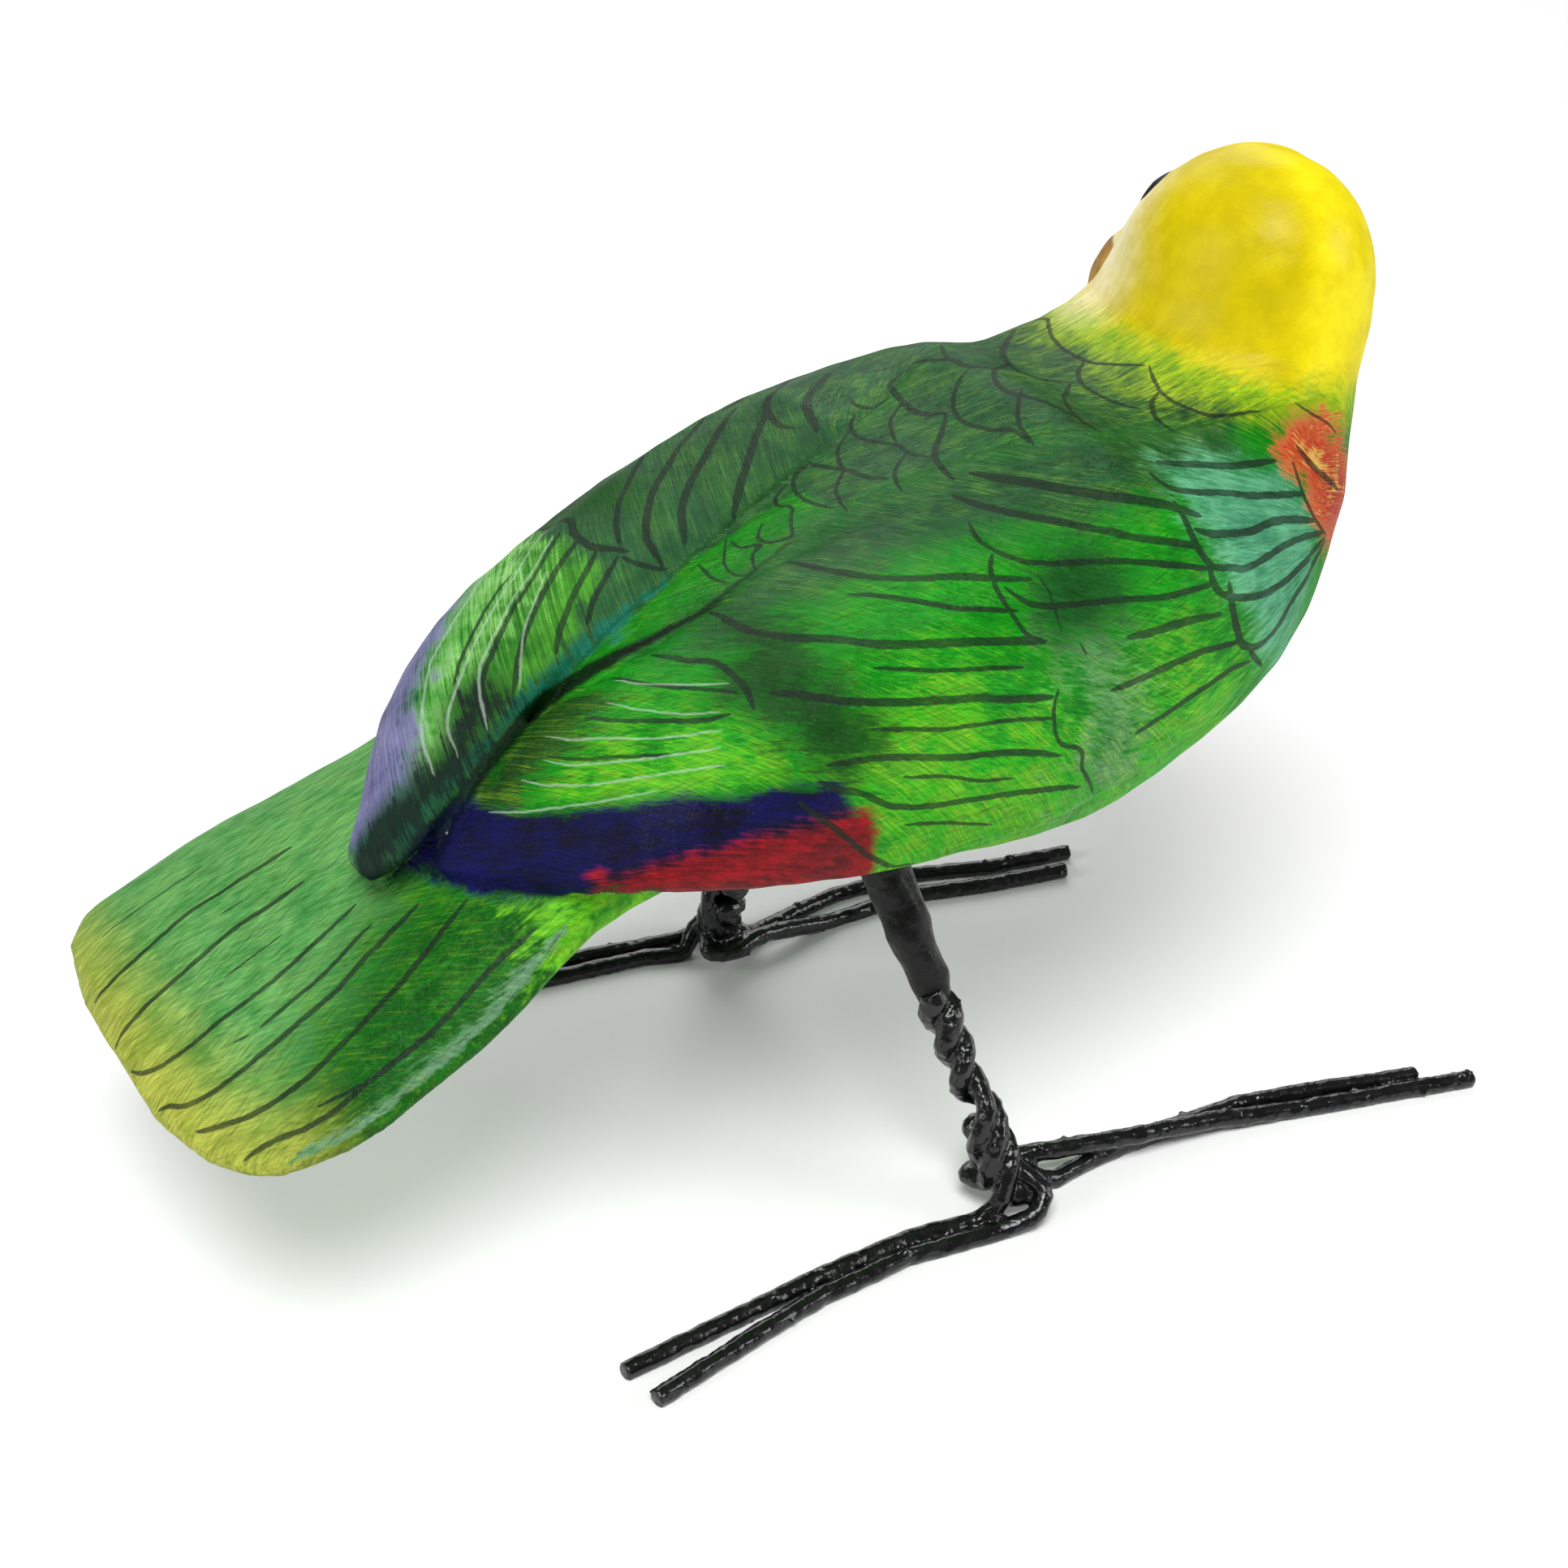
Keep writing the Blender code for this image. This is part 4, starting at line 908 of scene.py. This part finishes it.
def lumpy_black(name, lump, dark, light, gloss, shine, relief):
    """A black over small lumps, which are the darker and the glossier the lower they lie."""
    finish, tree, shader = new_finish(name)
    place = add(tree, "TexCoord", {}, "Object")
    lumps = add(tree, "TexNoise", {"Vector": place, **lump})
    shade = add(tree, "Mix", {0: lumps, 6: paint(dark), 7: paint(light)}, 2, data_type="RGBA")
    gloss = add(tree, "MapRange", {0: lumps, 1: 0.3, 2: 0.7, 3: gloss[0], 4: gloss[1]})
    bump = add(tree, "Bump", {"Height": lumps, **relief})
    look = {"Base Color": shade, "Roughness": gloss, "Specular IOR Level": shine, "Normal": bump}
    fill(tree, shader, look)
    return finish


# The enamel gives the eye a wet black with small sharp lights on lumps about a millimetre across. The
# sleeve's paint is the same black over rougher putty: it gives the eye a dull, soft-edged shine.
enamel = lumpy_black(
    "dipped_black_enamel", {"Scale": 900.0, "Detail": 3.0}, "#060607", "#121214", (0.12, 0.3), 0.5,
    {"Distance": 0.0003, "Strength": 0.5},
)
putty = lumpy_black(
    "dull_black_painted_putty", {"Scale": 700.0, "Detail": 4.0, "Roughness": 0.6}, "#050505", "#161616",
    (0.28, 0.5), 0.25, {"Distance": 0.0004, "Strength": 0.6},
)

# Beads of enamel stand here and there on the wires. They are scattered by seed and melt into the coat.
beading = bpy.data.node_groups.new("enamel_beads", "GeometryNodeTree")
for name, kind in (
    ("Wires", "Geometry"), ("Beads per Square Metre", "Float"), ("Bead Radius", "Float"), ("Seed", "Int"),
    ("Finish", "Material"),
):
    beading.interface.new_socket(name, in_out="INPUT", socket_type=f"NodeSocket{kind}")
beading.interface.new_socket("Geometry", in_out="OUTPUT", socket_type="NodeSocketGeometry")
given = beading.nodes.new("NodeGroupInput").outputs
spots = add(beading, "GeometryNodeDistributePointsOnFaces", {
    "Mesh": given["Wires"], "Density": given["Beads per Square Metre"], "Seed": given["Seed"],
})
bead = add(beading, "GeometryNodeMeshIcoSphere", {"Radius": given["Bead Radius"], "Subdivisions": 2})
size = add(beading, "FunctionNodeRandomValue", {2: 0.5, 3: 1.3, "Seed": given["Seed"]}, 1)
beads = add(beading, "GeometryNodeInstanceOnPoints", {"Points": spots, "Instance": bead, "Scale": size})
beads = add(beading, "GeometryNodeRealizeInstances", {"Geometry": beads})
joined = beading.nodes.new("GeometryNodeJoinGeometry")
beading.links.new(beads, joined.inputs[0])
beading.links.new(given["Wires"], joined.inputs[0])
coated = add(beading, "GeometryNodeSetMaterial", {
    "Geometry": joined.outputs[0], "Material": given["Finish"],
})
beading.links.new(coated, beading.nodes.new("NodeGroupOutput").inputs[0])


def middle_of(rows):
    """The mean place of some points."""
    return np.mean(np.array(rows), axis=0)


def wetness(rows, ankle, hip):
    """How much the enamel fills between the wires: all along the twist, and not out on the toes."""
    height = np.clip((rows[:, 2] - ankle[2]) / (hip[2] - ankle[2]), 0, 1)[:, None]
    aside = norm((rows - ankle - height * (hip - ankle)) * (1, 1, 0.6), axis=1) * 1000
    return np.clip((TWIST_RADIUS - aside) / TWIST_FADE, 0, 1)


low, high = (np.array(corner) for corner in cad_box)
for side, seed, outward in (("right", 3, -1), ("left", 8, 1)):
    nodes = [f"{side}_{part}" for part in ("hairpin_wire", "looped_toe_wire", "straight_toe_wire")]
    sleeve_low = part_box(f"{side}_leg_sleeve")[0][2]
    work = bmesh.new()
    for node in nodes:
        work.from_mesh(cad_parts[node].data)
    bmesh.ops.remove_doubles(work, verts=work.verts, dist=1e-6)
    work.normal_update()
    rows = np.array([vertex.co for vertex in work.verts])
    ankle = middle_of(rows[(rows[:, 2] > 0.004) & (rows[:, 2] < 0.012)]) * (1, 1, 0) + (0, 0, 0.008)
    hip = middle_of(rows[rows[:, 2] > sleeve_low - 0.006])
    near = np.clip(1 - (sleeve_low - rows[:, 2]) * 1000 / SLEEVE_REACH, 0, 1)
    coat = ENAMEL_COAT + (ENAMEL_AT_SLEEVE - ENAMEL_COAT) * near + WET_FILL * wetness(rows, ankle, hip)
    for vertex, thick in zip(work.verts, coat):
        vertex.co += vertex.normal * thick * 0.001
    pool = Matrix.Translation(ankle + (outward * 0.0025, -0.0016, -0.0058))
    pool = pool @ Matrix.Diagonal((1, 1, POOL_FLATTENED, 1))
    bmesh.ops.create_icosphere(work, subdivisions=3, radius=POOL_RADIUS, matrix=pool)
    mesh = bpy.data.meshes.new(f"{side}_leg_wires")
    work.to_mesh(mesh)
    work.free()
    leg = put(f"{side}_enamelled_leg", mesh)
    beads = leg.modifiers.new("enamel beads", "NODES")
    beads.node_group = beading
    values = {**BEADS, "Seed": seed, "Finish": enamel}
    for socket in beading.interface.items_tree:
        if socket.in_out == "INPUT" and socket.name in values:
            beads[socket.identifier] = values[socket.name]
    make_even(leg, WIRE_CELL)
    set_places(leg.data, sanded(leg.data, 3), low, high)
    rows = rows_of(leg.data, "co")
    swell = waves(rows * 1000, 2.4, 11) * 0.06 + waves(rows * 1000, 0.9, 12) * 0.03
    swell -= WET_DRAWN_BACK * wetness(rows, ankle, hip)
    set_places(leg.data, rows + rows_of(leg.data, "normal") * (swell * 0.001)[:, None], low, high)
    leg.data.shade_smooth()
    leg.data.materials.clear()
    leg.data.materials.append(enamel)
    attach(leg, "root")
    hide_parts(*nodes)

    sleeve = even_copy(f"{side}_leg_sleeve", f"{side}_painted_sleeve", SLEEVE_CELL)
    rows = sanded(sleeve.data, 6)
    axis_x, axis_y = (np.polyval(np.polyfit(rows[:, 2], rows[:, axis], 1), rows[:, 2]) for axis in (0, 1))
    inward = np.column_stack((axis_x - rows[:, 0], axis_y - rows[:, 1], np.zeros(len(rows))))
    above_rim = (rows[:, 2] - sleeve_low) * 1000
    near_rim = np.clip(1 - above_rim / RIM_HEIGHT, 0, 1)[:, None] ** 1.6
    down = (ankle - hip) / norm(ankle - hip)
    rows += near_rim * (inward * RIM_PULLED_IN + down * SLEEVE_RUN_DOWN)
    set_places(sleeve.data, rows, low, high)
    kneaded = waves(rows * 1000, 6, 13 + seed) * 0.22 + waves(rows * 1000, 1.8, 14) * 0.07
    kneaded *= np.clip((rows[:, 2] - sleeve_low) * 1000 / 1.5, 0.2, 1) * 0.001
    set_places(sleeve.data, rows + rows_of(sleeve.data, "normal") * kneaded[:, None], low, high)
    sleeve.data.shade_smooth()
    sleeve.data.materials.append(putty)
    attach(sleeve, "root")
    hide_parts(f"{side}_leg_sleeve")


# The floor is a plain pale sheet, 6 m wide. A wide softbox behind lays a sheen on the back and the
# tail, a small one above the camera lights the near wing, and a weak one on each side opens the shadows.
corners = ((-3, -3, 0), (3, -3, 0), (3, 3, 0), (-3, 3, 0))
floor_mesh = bpy.data.meshes.new("floor")
floor_mesh.from_pydata(corners, [], [(0, 1, 2, 3)])
floor = put("floor", floor_mesh)
sheet, tree, shader = new_finish("pale_paper")
fill(tree, shader, {"Base Color": paint("#F4F4F4"), "Roughness": 0.9})
floor.data.materials.append(sheet)

# Each light: its name, place in metres, width in metres and power in watts.
LIGHTS = (
    ("back_softbox", (0.62, -0.3, 0.5), 0.7, 3.4),
    ("key_softbox", (-0.32, 0.2, 0.72), 0.45, 5.8),
    ("right_softbox", (-0.45, -0.6, 0.35), 0.4, 2.2),
    ("left_softbox", (0.1, 0.75, 0.4), 0.4, 2.0),
)
TENT_GLOW = 0.15
aim = Vector((0, 0, 0.05))
for name, spot, size, power in LIGHTS:
    lamp = bpy.data.lights.new(name, "AREA")
    lamp.shape = "DISK"
    lamp.size = size
    lamp.energy = power
    light = put(name, lamp)
    light.location = spot
    light.rotation_euler = (aim - Vector(spot)).to_track_quat("-Z", "Y").to_euler()
world = bpy.data.worlds.new("studio_tent")
world.use_nodes = True
tree = world.node_tree
fill(tree, tree.nodes["Background"], {"Color": (1, 1, 1, 1), "Strength": TENT_GLOW})
bpy.context.scene.world = world

# The camera stands where the photographer stood: behind the bird's right wing and above it.
PHOTO_WIDTH = 1932
FOCAL_LENGTH = 3200
SENSOR = 36.0
CAMERA_PLACE = (-0.18455, 0.10468, 0.1645)
CAMERA_LOOKS = (0.7423, -0.4286, -0.5150)
camera = put("camera", bpy.data.cameras.new("camera"))
camera.data.sensor_width = SENSOR
camera.data.lens = SENSOR * FOCAL_LENGTH / PHOTO_WIDTH
camera.data.clip_start = 0.01
camera.location = CAMERA_PLACE
camera.rotation_euler = Vector(CAMERA_LOOKS).to_track_quat("-Z", "Y").to_euler()
bpy.context.scene.camera = camera
bpy.context.scene.view_settings.view_transform = "Standard"
